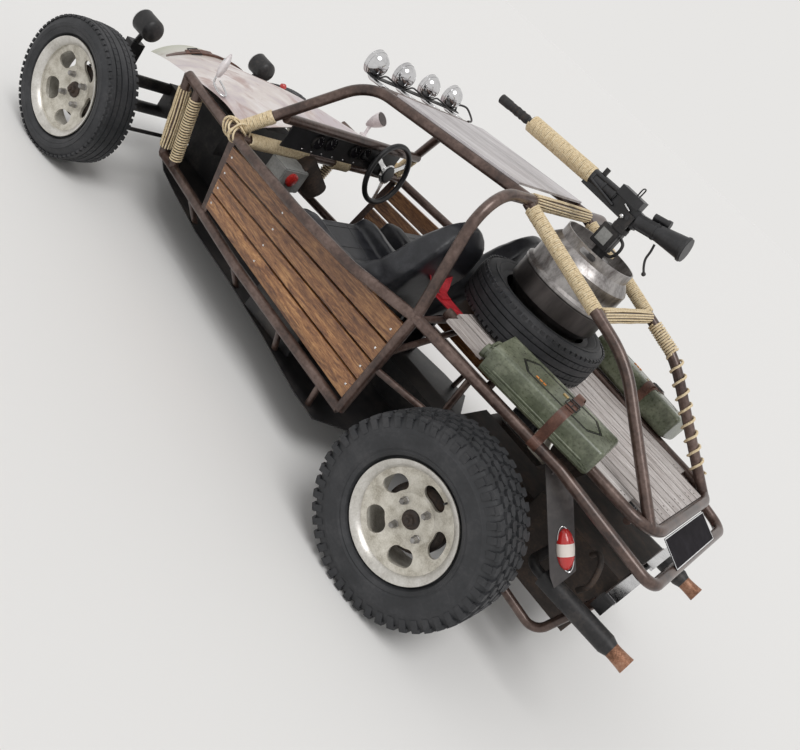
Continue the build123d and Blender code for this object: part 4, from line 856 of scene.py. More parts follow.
# rope: windings round the tubes, strands along the cross pieces, loose loops at the joints
pillar = ((1.620, 0.590, 0.705), (1.380, 0.360, 1.165))
post = ((1.890, 0.455, 0.330), (1.905, 0.545, 0.700))
postBars = ((1.985, 0.443, 0.330), (2.000, 0.533, 0.700))
crossTube = ((1.580, 0.590, 0.705), (1.580, -0.590, 0.705))
stay = ((0.604, 0.293, 1.257), (-0.039, 0.299, 1.118))
stayLow = (stay[1], (-0.494, 0.352, 0.805))
loopLook = {"steps": 28, "swell": 0.05, "squeeze": 0.9}
halves = ((1, "Left"), (-1, "Right"))


def flip(vector, side):
    return Vector((vector.x, vector.y * side, vector.z))


def mirrored(paths, side):
    return [[flip(p, side) for p in path] for path in paths]


def onRun(run, t, side=1):
    x, y, z = (share(a, b, t) for a, b in zip(*run))
    return spot(x, y * side, z)


def runPath(run, fromShare, toShare, side=1, steps=8):
    return [onRun(run, share(fromShare, toShare, k / steps), side) for k in range(steps + 1)]


def wind(name, paths, pitch=0.0072, loose=0.0016, radius=tube + lay, rope=lay, body="chassis"):
    values = {"Wind Radius": radius, "Rope Radius": rope, "Pitch": pitch, "Looseness": loose,
              "Finish": "ropeFibre"}
    return grow(name, pathMesh(paths), winding, values, body, smooth=60)


def layStrands(name, paths, rope=lay):
    values = {"Rope Radius": rope, "Finish": "ropeFibre"}
    return grow(name, pathMesh(paths), strand, values, smooth=60)


def alongBar(run, fromShare, toShare, count, sag, seed, reach=tube + 0.003):
    # strands laid side by side round a bar, none quite straight
    dice = random.Random(seed)
    start, end = run
    _, side, other = basis(spot(*end) - spot(*start))
    paths = []
    for turn in turns(count):
        drift, points = dice.uniform(-0.16, 0.16), []
        for t in (i / 8 for i in range(9)):
            bow = math.sin(t * math.pi)
            angle = turn + drift * bow
            radius = reach + sag * bow * dice.uniform(0.2, 1.0)
            around = side * math.cos(angle) + other * math.sin(angle)
            points.append(onRun(run, share(fromShare, toShare, t)) + around * radius)
        paths.append(curved(points, 3))
    return paths


def loopRound(centre, axis, radius, tilt, seed):
    axis, side, other = basis(axis)
    lean = random.Random(seed).uniform(0, 2 * math.pi)
    points = []
    for k in range(loopLook["steps"] + 1):
        a = 2 * math.pi * k / loopLook["steps"]
        reach = radius * (1 + loopLook["swell"] * math.sin(3 * a + lean))
        around = side * math.cos(a) * reach + other * math.sin(a) * reach * loopLook["squeeze"]
        points.append(centre + around + axis * tilt * math.sin(a + lean))
    return points


strands, loops = [], []
for side in (1, -1):
    foot = onRun(pillar, 0.02, side)
    up = onRun(pillar, 0.2, side) - foot
    rail = spot(1.30, side * 0.62, 0.710) - foot
    ahead = onRun(post, 1.0, side) - foot
    lays = ((up, 0.034, 0.020), (up, 0.037, -0.018), (rail, 0.031, 0.014), (rail, 0.034, -0.012),
            (ahead, 0.031, 0.010), (up + rail, 0.045, 0.016), (up + ahead, 0.044, 0.020))
    for index, (axis, radius, tilt) in enumerate(lays):
        shift = axis.normalized() * (0.012 * (index % 3) + 0.010)
        loops.append(loopRound(foot + shift, axis, radius, tilt, index + 10 * side))
wind("ropePillars", [runPath(pillar, start, 0.31, side) for start in (0.075, 0.27) for side in (1, -1)])
wind("ropePost", [runPath(post, 0.10, 0.88, side) for side in (1, -1)], 0.0124, 0.0012)
for side in (1, -1):
    strands += mirrored(alongBar(postBars, 0.10, 0.84, 12, 0.003, 5), side)
crossPaths = [runPath(crossTube, 0.05, 0.356, steps=12), runPath(crossTube, 0.522, 0.616)]
wind("ropeCross", crossPaths, loose=0.0022, radius=tube + 0.0060)
hanging = spots((1.553, 0.176, 0.705), (1.552, 0.168, 0.672), (1.560, 0.146, 0.634),
                (1.575, 0.122, 0.628), (1.586, 0.116, 0.655), (1.604, 0.138, 0.690))
loops.append(curved(hanging, 5))
wind("ropeStays", [runPath(stay, 0.045, 0.70, side, 20) for side in (1, -1)])
wind("ropeSpiral", [runPath(stay, 0.78, 0.985, -1)], 0.011, 0.003, rope=0.0045)
kneeBend = [onRun(stay, 0.985, -1), onRun(stayLow, 0.05, -1)]
longWay = kneeBend + runPath(stayLow, 0.10, 0.86, -1, 14)
wind("ropeSpiralLong", [longWay], 0.056, 0.004, tube + 0.0055, 0.0052)
for x, y, z, seed in ((0.604, 0.268, 1.268, 8), (0.140, 0.275, 1.1557, 9)):
    strands += alongBar(((x, y, z), (x, -y, z)), 0.0, 1.0, 15, 0.002, seed)
ropeStrands = layStrands("ropeStrands", strands)
ropeLoops = layStrands("ropeLoops", loops, 0.0042)
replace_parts(ropeStrands, "rope_rear")
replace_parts(ropeLoops, "rope_front")
print("rope")


# bucket seats: the solid's shape, softened and blown up like padded leather, then piped and sewn
seatLook = {"voxel": 0.008, "pressure": 4.0, "cap": 0.010, "frames": 20, "smooth": 6, "base": 0.506,
            "rim": 0.048, "half": 0.225, "y": 0.300, "archZ": 0.780, "topZ": 1.068, "piping": 0.0042,
            "seam": 0.0014, "seamY": 0.085, "seamX": (0.935, 1.06, 1.165), "railY": 0.170}


def puffed(mesh):
    holder = addObject("puff", mesh)
    cloth = holder.modifiers.new("puff", "CLOTH")
    cloth.settings.use_pressure = True
    cloth.settings.uniform_pressure_force = seatLook["pressure"]
    cloth.settings.effector_weights.gravity = 0.0
    cloth.settings.quality = 3
    cloth.point_cache.frame_start, cloth.point_cache.frame_end = 1, seatLook["frames"]
    rest = [v.co.copy() for v in mesh.vertices]
    for number in range(1, seatLook["frames"] + 1):
        bpy.context.scene.frame_set(number)
    result = evaluated(holder)
    for vertex, old in zip(result.vertices, rest):
        step = vertex.co - old
        if step.length > seatLook["cap"]:
            vertex.co = old + step * (seatLook["cap"] / step.length)
    bpy.context.scene.frame_set(1)
    return result


def seatShape():
    bm = fromMesh(nodes["seat_left"].data)
    bmesh.ops.remove_doubles(bm, verts=bm.verts, dist=1e-5)
    whole = bm.verts[:] + bm.edges[:] + bm.faces[:]
    cut = bmesh.ops.bisect_plane(bm, geom=whole, plane_co=(0, 0, seatLook["base"]), plane_no=(0, 0, -1),
                                 clear_outer=True)
    rim = [e for e in cut["geom_cut"] if isinstance(e, bmesh.types.BMEdge)]
    bmesh.ops.holes_fill(bm, edges=rim, sides=0)
    bmesh.ops.recalc_face_normals(bm, faces=bm.faces)
    holder = addObject("remesh", toMesh(bm, "seatStart"))
    remesh = holder.modifiers.new("remesh", "REMESH")
    remesh.mode, remesh.voxel_size = "VOXEL", seatLook["voxel"]
    mesh = evaluated(holder)
    mesh = puffed(mesh)
    bm = fromMesh(mesh)
    for number in range(seatLook["smooth"]):
        bmesh.ops.smooth_vert(bm, verts=bm.verts, factor=0.5, use_axis_x=True, use_axis_y=True,
                              use_axis_z=True)
    bm.to_mesh(mesh)
    bm.free()
    return mesh


def seatLines(surface):
    # piping round the back's rolled edge, and the sewn lines of back and cushion, on the finished surface
    bm = fromMesh(surface)
    tree = BVHTree.FromBMesh(bm)
    bm.free()

    def cast(points, way):
        hits = [tree.ray_cast(point, Vector(way))[0] for point in points]
        return [hit for hit in hits if hit]

    middle, half, rim = seatLook["y"], seatLook["half"] - seatLook["rim"], seatLook["rim"]
    archZ, rise = seatLook["archZ"], seatLook["topZ"] - seatLook["archZ"] - rim
    backward, downward = (-1, 0, 0), (0, 0, -1)
    steps, apart, arch = 41, 0.011, []
    for k in range(-7, steps + 8):
        # before 0 and after the last step the line runs straight down the sides
        bend = math.pi * min(max(k, 0), steps) / steps
        z = archZ + rise * math.sin(bend) - apart * max(-k, k - steps, 0)
        arch.append(spot(1.6, middle + half * math.cos(bend), z))
    lines = [[hit + Vector((0.0005, 0, 0)) for hit in cast(arch, backward)]]
    seams = []
    for y in (middle - seatLook["seamY"], middle + seatLook["seamY"]):
        seams.append(cast([spot(share(0.90, 1.19, k / 15), y, 1.3) for k in range(16)], downward))
        seams.append(cast([spot(1.6, y, share(0.74, 0.985, k / 17)) for k in range(18)], backward))
    for x in seatLook["seamX"]:
        row = [spot(x, middle + share(-0.155, 0.155, k / 15), 1.3) for k in range(16)]
        seams.append(cast(row, downward))
    return lines, seams


seatMesh = seatShape()
piping, sewn = seatLines(seatMesh)
otherMesh = seatMesh.copy()
otherMesh.transform(Matrix.Diagonal((1, -1, 1, 1)))
otherMesh.flip_normals()
for (side, mark), mesh in zip(halves, (seatMesh, otherMesh)):
    seat = showPiece("bucketSeat" + mark, mesh, "blackLeather", "chassis", smooth=70)
    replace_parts(seat, "seat_" + mark.lower())
    for kind, lines, radius in (("Piping", piping, seatLook["piping"]), ("Seams", sewn, seatLook["seam"])):
        values = {"Rope Radius": radius, "Finish": "blackPlastic"}
        grow("seat" + kind + mark, pathMesh(mirrored(lines, side)), strand, values)
    railYs = [side * seatLook["y"] + turn * seatLook["railY"] for turn in (1, -1)]
    rails = [(addBox, spot(1.03, y, 0.356), (0.300, 0.028, 0.303)) for y in railYs]
    shape("seatRails" + mark, "blackSteel", rails, bevel=0.002)
print("seats")


# harness: two flat red straps from each seat to the cross tube behind
strapLook = {"section": flatSection(0.023, 0.0012), "band": flatSection(0.0012, 0.024), "seatY": 0.300,
             "tube": (0.498, 0.764, 0.0155),
             "route": ((0.715, 1.5, 0.852), (0.690, 1.5, 0.846), (0.668, 1.2, 0.815), (0.640, 0.7, 0.790),
                       (0.560, 0.45, 0.787), (0.500, 0.3, 0.789))}
tubeX, tubeZ, reach = strapLook["tube"]
parts = []
for side in (1, -1):
    base = side * strapLook["seatY"]
    for y in (0.045, -0.045):
        route = [spot(x, base + y * out, z) for x, out, z in strapLook["route"]]
        parts.append((addSwept, curved(route, 5), strapLook["section"]))
    wrap = [spot(tubeX + reach * math.cos(a), base, tubeZ + reach * math.sin(a)) for a in turns(20)]
    parts.append((addSwept, wrap, strapLook["band"], (0, 1, 0), True))
    parts.append((addBox, spot(0.612, base, 0.7905), (0.030, 0.066, 0.009)))
shape("harnessStraps", "redWeb", parts, smooth=60)
print("harness")


# mock gun: wound sleeve, pierced shroud, sights, rods, grips and the box on its post
gunLook = {"pivot": (0.380, 0.0, 1.415), "sleeve": ((0.545, 0.005), (0.214, 0.0196)), "wind": 0.0318,
           "rope": 0.0031, "pitch": 0.0063, "loose": 0.0018, "holes": (5, 8), "holeReach": 0.0172,
           "shroud": [(0.0145, 0.0), (0.0190, 0.002), (0.0190, 0.050), (0.0172, 0.056), (0.0172, 0.150),
                      (0.0145, 0.152)],
           "drum": [(0.0405, -0.004), (0.0470, -0.002), (0.0480, 0.006), (0.0450, 0.010), (0.0410, 0.006)]}


def onGun(x, y, z):
    return spot(*gunLook["pivot"]) + Vector((x, y, z))


def hoop(inner, outer, half):
    return [(inner, -half), (outer, -half), (outer, half), (inner, half)]


(farX, farZ), (nearX, nearZ) = gunLook["sleeve"]
path = [onGun(share(farX, nearX, k / 12), 0, share(farZ, nearZ, k / 12)) for k in range(13)]
wind("ropeGun", [path, path[:3]], gunLook["pitch"], gunLook["loose"], gunLook["wind"], gunLook["rope"], "gun")
muzzle = onGun(0.715, 0, -0.006)
axis = muzzle - onGun(0.525, 0, 0.006)
parts = [(addTurned, muzzle, -axis, gunLook["shroud"], 24, True)]
for x in (0.625, 0.600, 0.575):
    centre = onGun(x, 0, -0.006 + (0.715 - x) * 0.063)
    parts.append((addTurned, centre, axis, hoop(0.0165, 0.0188, 0.003), 20, True))
shape("gunShroud", "blackSteel", parts, "gun")
holes, facings = [], []
rowCount, holeCount = gunLook["holes"]
for row in range(rowCount):
    for k in range(holeCount):
        a = 2 * math.pi * (k + 0.5 * (row % 2)) / holeCount
        facings.append(Vector((0, math.cos(a), math.sin(a))))
        centre = onGun(0.650 - 0.0165 * row, 0, -0.002 + 0.001 * row)
        holes.append(centre + facings[-1] * gunLook["holeReach"])
screws("gunHoles", holes, facings, 0.0040, 0.12, "rustIron", body="gun")
parts = [(addRod, onGun(0.215, y, 0.040), onGun(0.060, y, 0.047), 0.0085, 14) for y in (0.0165, -0.0165)]
parts.append((addRod, onGun(0.205, 0.026, 0.012), onGun(0.075, 0.026, -0.004), 0.0060, 12))
parts.append((addRod, onGun(0.230, 0, 0.018), onGun(0.090, 0, 0.022), 0.0260, 24))
for x in (0.205, 0.150, 0.100):
    parts.append((addTurned, onGun(x, 0, 0.0205), (1, 0, 0), hoop(0.024, 0.0292, 0.005), 24, True))
cap = ((-0.060, 0.062), (-0.112, 0.074), (-0.126, 0.077))
capFar, capNear, capEnd = (onGun(x, -0.020, z) for x, z in cap)
parts += [
    (addTurned, onGun(-0.222, 0, 0.0525), (-0.9816, 0, 0.1908), gunLook["drum"], 32, True),
    (addTurned, onGun(-0.105, 0, 0.029), (-0.9763, 0, 0.2165), hoop(0.0285, 0.0325, 0.004), 28, True),
    (addBox, onGun(-0.078, 0, 0.026), (0.080, 0.046, 0.054), (0.976, 0, -0.2165)),
    (addRod, capFar, capNear, 0.0140, 16), (addRod, capNear, capEnd, 0.0165, 16)]
shape("gunBody", "blackPlastic", parts, "gun")
sight = [onGun(0.030, y, z) for y, z in ((0.016, 0.078), (0.016, 0.108), (-0.016, 0.108), (-0.016, 0.078))]
lever = [onGun(*p) for p in ((-0.136, 0.004, -0.004), (-0.144, 0.006, -0.030), (-0.150, 0.008, -0.062),
                             (-0.166, 0.010, -0.086), (-0.182, 0.012, -0.101))]
parts = [(addPipe, sight, 0.0028, 8, 5), (addBox, onGun(0.185, 0, 0.062), (0.018, 0.010, 0.030)),
         (addPipe, lever, 0.0045, 10), (addBall, onGun(-0.184, 0.012, -0.104), 0.0085, 14)]
shape("gunSights", "blackSteel", parts, "gun")
ball = onGun(0.016, 0.041, -0.007)
parts = [(addBall, ball, 0.0095, 16), (addRod, onGun(0.016, 0.030, -0.007), ball, 0.005, 12),
         (addRod, onGun(0.040, 0.030, 0.030), onGun(0.010, 0.030, 0.022), 0.0040, 10)]
shape("gunBall", "chromeTrim", parts, "gun")
handle = spots((0.352, 0.0, 1.342), (0.328, 0.004, 1.330), (0.322, 0.006, 1.300), (0.334, 0.004, 1.270),
               (0.362, 0.0, 1.262))
parts = [(addBox, spot(0.395, 0, 1.3125), (0.078, 0.064, 0.086)), (addPipe, handle, 0.0062, 12)]
shape("postBox", "blackSteel", parts, bevel=0.003)
shape("postLabel", "greyBox", [(addBox, spot(0.398, 0.0325, 1.312), (0.048, 0.0016, 0.052))])
print("gun")


# fuel cans: straps, buckles, tags, clips, top seams and side ribs
canLook = {"place": (0.005, 0.475, 0.877), "yaw": 8.0, "roll": 8.7, "halfY": 0.087, "halfZ": 0.056,
           "strapX": -0.060, "proud": 0.0022, "corner": 0.024, "rail": (-0.055, 0.5335, 0.7737),
           "railReach": 0.0232, "strap": flatSection(0.0016, 0.019), "narrow": flatSection(0.0015, 0.015),
           "tongue": ((0, 0.045, 0.0060), (0, 0.0, 0.0062), (0.002, -0.040, 0.0064), (0.004, -0.072, 0.0100),
                      (0.004, -0.098, 0.0020), (0.000, -0.108, -0.014), (-0.002, -0.104, -0.030)),
           "seam": ((-0.188, 0.0), (-0.146, 0.047), (0.116, 0.047), (0.158, 0.0), (0.116, -0.047),
                    (-0.146, -0.047)),
           "rib": ((-0.215, -0.026), (-0.205, -0.034), (0.205, -0.034), (0.218, -0.026)),
           "tags": {1: (0.046, 0.030), -1: (0.052, 0.036)}}
canTurn = (Matrix.Rotation(math.radians(canLook["yaw"]), 4, "Z")
           @ Matrix.Rotation(-math.radians(canLook["roll"]), 4, "X"))
canPlace = Matrix.Translation(spot(*canLook["place"])) @ canTurn
railTube = canPlace.inverted() @ spot(*canLook["rail"])
hy, hz, strapX = canLook["halfY"], canLook["halfZ"], canLook["strapX"]
bent = canLook["corner"] * 0.3
edgeY, edgeZ = hy + canLook["proud"], hz + canLook["proud"]
cornerY, cornerZ = hy - canLook["corner"], hz - canLook["corner"]
route = [(-edgeY, -hz + 0.010), (-edgeY, 0.0), (-edgeY, cornerZ), (-hy + bent, edgeZ - bent),
         (-cornerY, edgeZ), (0.0, edgeZ), (cornerY, edgeZ), (hy - bent, edgeZ - bent), (edgeY, cornerZ),
         (edgeY, -hz + 0.016)]
reach = canLook["railReach"]
for a in (math.radians(70 - 30 * k) for k in range(7)):
    route.append((railTube.y + reach * math.cos(a), railTube.z + reach * math.sin(a)))


def rodFrame(a, b, c, d, radius):
    return [(addRod, start, end, radius, 8) for start, end in ((a, b), (c, d), (a, c), (b, d))]


for side, mark in halves:
    def onCan(x, y, z):
        return flip(canPlace @ Vector((x, y, z)), side)

    def onTop(x, y, z):
        return onCan(x, y, hz + z)

    along, upward = (flip(canTurn.to_3x3() @ Vector(way), side) for way in ((1, 0, 0), (0, 0, 1)))
    strapWay = curved([onCan(strapX, y, z) for y, z in route], 3)
    tongue = curved([onTop(strapX + x, y, z) for x, y, z in canLook["tongue"]], 4)
    parts = [(addSwept, strapWay, canLook["strap"], along), (addSwept, tongue, canLook["narrow"], along)]
    shape("canStrap" + mark, "brownLeather", parts, smooth=60)
    corners = [onTop(strapX + x, y, 0.0095) for y in (0.030, -0.004) for x in (-0.024, 0.024)]
    parts = rodFrame(*corners, 0.0022)
    parts += [(addRod, onTop(strapX, 0.030, 0.0100), onTop(strapX, -0.004, 0.0110), 0.0016, 8),
              (addBox, onTop(strapX, -0.020, 0.0085), (0.040, 0.007, 0.0035), along, upward)]
    shape("canBuckle" + mark, "blackSteel", parts)
    x, y = canLook["tags"][side]
    rods = [(onTop(x + 0.016 * k, y, 0.0012), onTop(x + 0.016 * k + 0.012, y, 0.0012)) for k in range(3)]
    shape("canTag" + mark, "orangeTag", [(addRod, start, end, 0.0030, 8) for start, end in rods])
    clip = (addBox, onTop(-0.020, -0.020, 0.0012), (0.022, 0.014, 0.0030), along, upward)
    shape("canClip" + mark, "brassBit", [clip], bevel=0.0006)
    seam = [onTop(x, y, -0.0028) for x, y in canLook["seam"]]
    shape("canSeam" + mark, "blackSteel", [(addSwept, seam, roundSection(0.003, 8), upward, True)])
    ribs = [[onCan(x, hy + 0.0008, z + lift) for x, z in canLook["rib"]] for lift in (0.0, 0.010)]
    shape("canRibs" + mark, "olivePaint", [(addPipe, rib, 0.0026, 8) for rib in ribs])
print("fuel cans")


# steering wheel: round grip, three flat spokes and a capped hub
steerLook = {"centre": (1.448, -0.250, 0.782), "ring": 0.141, "grip": 0.0125, "spokes": (0, 118, -118),
             "hub": [(0, -0.030), (0.030, -0.030), (0.040, -0.008), (0.040, 0.004), (0.034, 0.010),
                     (0, 0.013)],
             "spoke": [(-0.015, 0.036), (0.015, 0.036), (0.010, 0.080), (0.013, 0.133), (-0.013, 0.133),
                       (-0.010, 0.080)],
             "cap": [(0.0405, -0.010), (0.0470, -0.008), (0.0470, 0.003), (0.0405, 0.005)]}
hub = spot(*steerLook["centre"])
hubAxis = Vector((-0.984808, 0, 0.173648))
grip = [(steerLook["ring"] + across, along) for across, along in roundSection(steerLook["grip"], 14)]
parts = [(addTurned, hub, hubAxis, grip, 64, True), (addTurned, hub, hubAxis, steerLook["hub"], 40)]
wheelRing = shape("steeringGrip", "blackPlastic", parts, "steering_wheel")
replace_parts(wheelRing, "steering_wheel")
downward = Vector((0, 0, -1)) - hubAxis * Vector((0, 0, -1)).dot(hubAxis)
downward.normalize()
sideways = hubAxis.cross(downward)


def hubWay(degrees):
    a = math.radians(degrees)
    return downward * math.cos(a) + sideways * math.sin(a)


parts = []
for way in (hubWay(degrees) for degrees in steerLook["spokes"]):
    parts.append((addPlate, steerLook["spoke"], hub - hubAxis * 0.004, hubAxis.cross(way), way, 0.004))
parts.append((addTurned, hub, hubAxis, steerLook["cap"], 40, True))
shape("steeringSpokes", "polishedAlloy", parts, "steering_wheel", bevel=0.0008)
points = [hub + hubWay(30 + 60 * k) * 0.0437 + hubAxis * 0.0042 for k in range(6)]
screws("hubScrews", points, [hubAxis] * 6, 0.0028, 0.5, "blackSteel", 8, "steering_wheel")
print("steering wheel")


# dash: four gauges, screws and the boxes below it
dashLook = {"gauges": ((0.203, 0.800), (0.121, 0.808), (-0.060, 0.808), (-0.130, 0.808)),
            "rim": [(0.031, -0.002), (0.0375, -0.002), (0.0375, 0.004), (0.0345, 0.009), (0.031, 0.009)],
            "face": [(0, 0.0005), (0.031, 0.0005), (0.031, 0.003), (0, 0.003)],
            "tick": (0.0006, 0.005, 0.0012), "needle": (0.0006, 0.022, 0.0016), "needleTurn": 0.9,
            "screws": ((0.27, 0.752), (0.207, 0.750), (0.136, 0.750), (0.061, 0.750), (-0.02, 0.750),
                       (-0.10, 0.750), (0.32, 0.862), (0.0, 0.866), (-0.33, 0.862)),
            "knob": [(0, -0.001), (0.030, -0.001), (0.030, 0.010), (0.024, 0.014), (0, 0.014)],
            "shroud": [(0.0205, -0.170), (0.033, -0.170), (0.038, -0.120), (0.038, -0.030), (0.030, -0.012),
                       (0.0205, -0.012)], "fins": 11}
dashLow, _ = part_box("dash_panel")
dashX, toward = dashLow.x, (-1, 0, 0)
gauges = [Vector((dashX, y, z)) for y, z in dashLook["gauges"]]
shape("gaugeRims", "blackSteel", [(addTurned, p, toward, dashLook["rim"], 32, True) for p in gauges])
shape("gaugeFaces", "plateBlack", [(addTurned, p, toward, dashLook["face"], 32) for p in gauges])


def dialMark(middle, a, proud, out, size):
    way = Vector((0, math.cos(a), math.sin(a)))
    centre = middle - Vector((proud, 0, 0)) + way * out
    return (addBox, centre, size, (1, 0, 0), Vector((1, 0, 0)).cross(way))


parts = []
ticks = [math.radians(-30 + 30 * k) for k in range(9)]
for middle in gauges:
    parts += [dialMark(middle, a, 0.0034, 0.026, dashLook["tick"]) for a in ticks]
    parts.append(dialMark(middle, dashLook["needleTurn"], 0.0042, 0.009, dashLook["needle"]))
shape("gaugeMarks", "plateWhite", parts)
points = [Vector((dashX, y, z)) for y, z in dashLook["screws"]]
screws("dashScrews", points, [Vector(toward)] * len(points), 0.0045, 0.5, "polishedAlloy")
shape("fuseBox", "greyBox", [(addBox, spot(1.500, 0.315, 0.640), (0.100, 0.150, 0.105))], bevel=0.005)
shape("fuseKnob", "redPaint", [(addTurned, spot(1.449, 0.330, 0.650), toward, dashLook["knob"], 12)])
drumStart, drumEnd = spots((1.515, 0.235, 0.700), (1.455, 0.130, 0.615))
way = drumEnd - drumStart
pitch = way.length / dashLook["fins"]
profile = [(0, 0)]
for k in range(dashLook["fins"]):
    profile += [(0.040, pitch * k), (0.058 - 0.0006 * k, pitch * (k + 0.5)),
                (0.040, pitch * k + way.length / 11.5)]
profile.append((0, way.length))
shape("finnedDrum", "rustIron", [(addTurned, drumStart, way, profile, 28)], smooth=30)
parts = [(addTurned, spot(1.470, -0.250, 0.7785), hubAxis, dashLook["shroud"], 32, True),
         (addRod, *spots((1.540, -0.225, 0.772), (1.520, -0.120, 0.800)), 0.0050, 10),
         (addBall, spot(1.519, -0.116, 0.801), 0.010, 14)]
shape("columnShroud", "blackPlastic", parts)
print("dash")


# mirrors: a lilac teardrop on a chrome hairpin at the left, a bullet with dark glass at the right
mirrorLook = {"bullet": [(0.0335, 0.004), (0.0360, 0.0), (0.0372, 0.004), (0.0365, 0.020), (0.029, 0.052),
                         (0.017, 0.082), (0.007, 0.098), (0, 0.101)],
              "seat": [(0, 0.006), (0.0335, 0.004)],
              "foot": [(0, -0.008), (0.024, -0.008), (0.024, 0.001), (0.016, 0.006), (0, 0.007)],
              "glass": [(0, -0.0005), (0.0325, -0.0005), (0.0325, 0.0030), (0, 0.0035)],
              "drop": [(0.0, -0.050), (0.014, -0.048), (0.026, -0.036), (0.035, -0.016), (0.037, 0.004),
                       (0.031, 0.024), (0.019, 0.042), (0.008, 0.054), (0, 0.057)],
              "squash": ((0.75, 0.62, 0.0), 0.55)}
back = Vector((-0.588, 0.0, 0.809))
mouth = spot(1.862, -0.554, 0.832) + back * 0.040
arm = spots((1.872, -0.556, 0.812), (1.868, -0.545, 0.788), (1.850, -0.520, 0.765), (1.835, -0.500, 0.752))
parts = [(addTurned, mouth, -back, mirrorLook["bullet"], 32),
         (addTurned, mouth, -back, mirrorLook["seat"], 32), (addPipe, arm, 0.0085, 12),
         (addTurned, spot(1.833, -0.497, 0.7555), (0.0, -0.2, 1.0), mirrorLook["foot"], 24)]
bullet = shape("mirrorBullet", "creamPaint", parts, smooth=50)
shape("mirrorFace", "mirrorGlass", [(addTurned, mouth, -back, mirrorLook["glass"], 32)])
bm = bmesh.new()
headAt, headAxis = spot(1.850, 0.556, 0.846), Vector((0.25, -0.25, 0.94)).normalized()
addTurned(bm, headAt, headAxis, mirrorLook["drop"], 32)
squash, amount = mirrorLook["squash"]
squash = Vector(squash).normalized()
for vertex in bm.verts:
    offset = vertex.co - headAt
    vertex.co -= squash * offset.dot(squash) * amount
finishShape(bm, "mirrorTeardrop", "creamPaint", smooth=60)
hairpin = spots((1.884, 0.494, 0.768), (1.830, 0.510, 0.766), (1.792, 0.526, 0.762), (1.782, 0.543, 0.757),
                (1.800, 0.557, 0.756), (1.846, 0.553, 0.764), (1.856, 0.554, 0.780), (1.856, 0.555, 0.800))
hook = spots((1.856, 0.555, 0.798), (1.832, 0.566, 0.812), (1.836, 0.574, 0.845), (1.850, 0.572, 0.880))
parts = [(addPipe, hairpin, 0.0042, 10), (addPipe, hook, 0.0046, 10),
         (addBall, spot(1.786, 0.545, 0.757), 0.0085, 14, 0.6)]
shape("mirrorStand", "chromeTrim", parts, smooth=60)
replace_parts(bullet, "mirrors")
print("mirrors")


# bonnet: strap buckle and tongue, and the side repeater
bonnetBits = {"strapX": 2.420, "frame": 0.023, "rod": 0.0028, "tongue": flatSection(0.0012, 0.0145),
              "eyelet": [(0, -0.001), (0.0035, -0.001), (0.0035, 0.0014), (0, 0.0020)],
              "lens": [(0, -0.014), (0.012, -0.012), (0.015, 0.0), (0.015, 0.008), (0.010, 0.014),
                       (0, 0.016)]}


def strapTop(y, lift=0.0025):
    x = bonnetBits["strapX"]
    hit = nodes["bonnet_strap"].ray_cast(spot(x, y, 1.0), Vector((0, 0, -1)))
    return (hit[1] if hit[0] else spot(x, y, 0.62)) + Vector((0, 0, lift))


ends = strapTop(0.122), strapTop(0.172)
corners = [end + Vector((x, 0, 0)) for end in ends for x in (-bonnetBits["frame"], bonnetBits["frame"])]
pin = (addRod, *(end + Vector((0, 0, 0.002)) for end in ends), 0.0020, 8)
shape("bonnetBuckle", "blackSteel", rodFrame(*corners, bonnetBits["rod"]) + [pin])
tongue = [strapTop(0.190 - 0.012 * k, 0.0012 + 0.0022 * math.sin(math.pi * k / 12)) for k in range(13)]
parts = [(addSwept, tongue, bonnetBits["tongue"], (1, 0, 0))]
parts += [(addTurned, strapTop(y, 0.0018), (0, 0, 1), bonnetBits["eyelet"], 10) for y in (0.090, 0.070)]
shape("strapTongue", "brownLeather", parts, smooth=60)
stalk = (addRod, *spots((2.300, -0.346, 0.598), (2.303, -0.362, 0.650)), 0.0065, 12)
shape("indicatorStalk", "blackSteel", [stalk])
lens = (addTurned, spot(2.303, -0.364, 0.662), (-1, 0, 0.3), bonnetBits["lens"], 20)
shape("indicatorLens", "redPaint", [lens])
print("bonnet bits")


# tail: plate border, chrome pieces, hose, box and the round lamp on the engine bar
tailLook = {"plateLean": 22.0, "borderUp": 0.0525, "borderY": 0.2565, "proud": 0.0012,
            "tip": [(0.0276, 0.004), (0.0290, 0.006), (0.0282, 0.040), (0.0300, 0.075), (0.0318, 0.0925),
                    (0.0300, 0.0935), (0.0276, 0.080)],
            "lamp": [(0, -0.020), (0.026, -0.020), (0.028, 0.004), (0.020, 0.016), (0, 0.020)],
            "barX": -0.568, "barY": 0.365, "barZ": 0.522, "lensUp": 0.0735, "lensAcross": 0.0350}
plateLow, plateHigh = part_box("number_plate")
lean = math.radians(tailLook["plateLean"])
plateUp = Vector((math.cos(lean), 0, math.sin(lean)))
plateOut = Vector((-math.sin(lean), 0, math.cos(lean)))
plateTop = (plateLow + plateHigh) / 2 + plateOut * tailLook["proud"]
parts = []
for turn in (1, -1):
    edge = plateTop + plateUp * tailLook["borderUp"] * turn
    parts.append((addBox, edge, (0.0035, 0.516, 0.0010), plateUp, plateOut))
for turn in (1, -1):
    edge = plateTop + Vector((0, tailLook["borderY"] * turn, 0))
    parts.append((addBox, edge, (0.1085, 0.0035, 0.0010), plateUp, plateOut))
shape("plateBorder", "plateWhite", parts)
parts = []
for side in (1, -1):
    rear, front = spots((-0.676, side * 0.450, 0.4625), (-0.768, side * 0.450, 0.468))
    parts.append((addTurned, rear, (front - rear).normalized(), tailLook["tip"], 32, True))
shape("exhaustTips", "copperTip", parts, smooth=40)
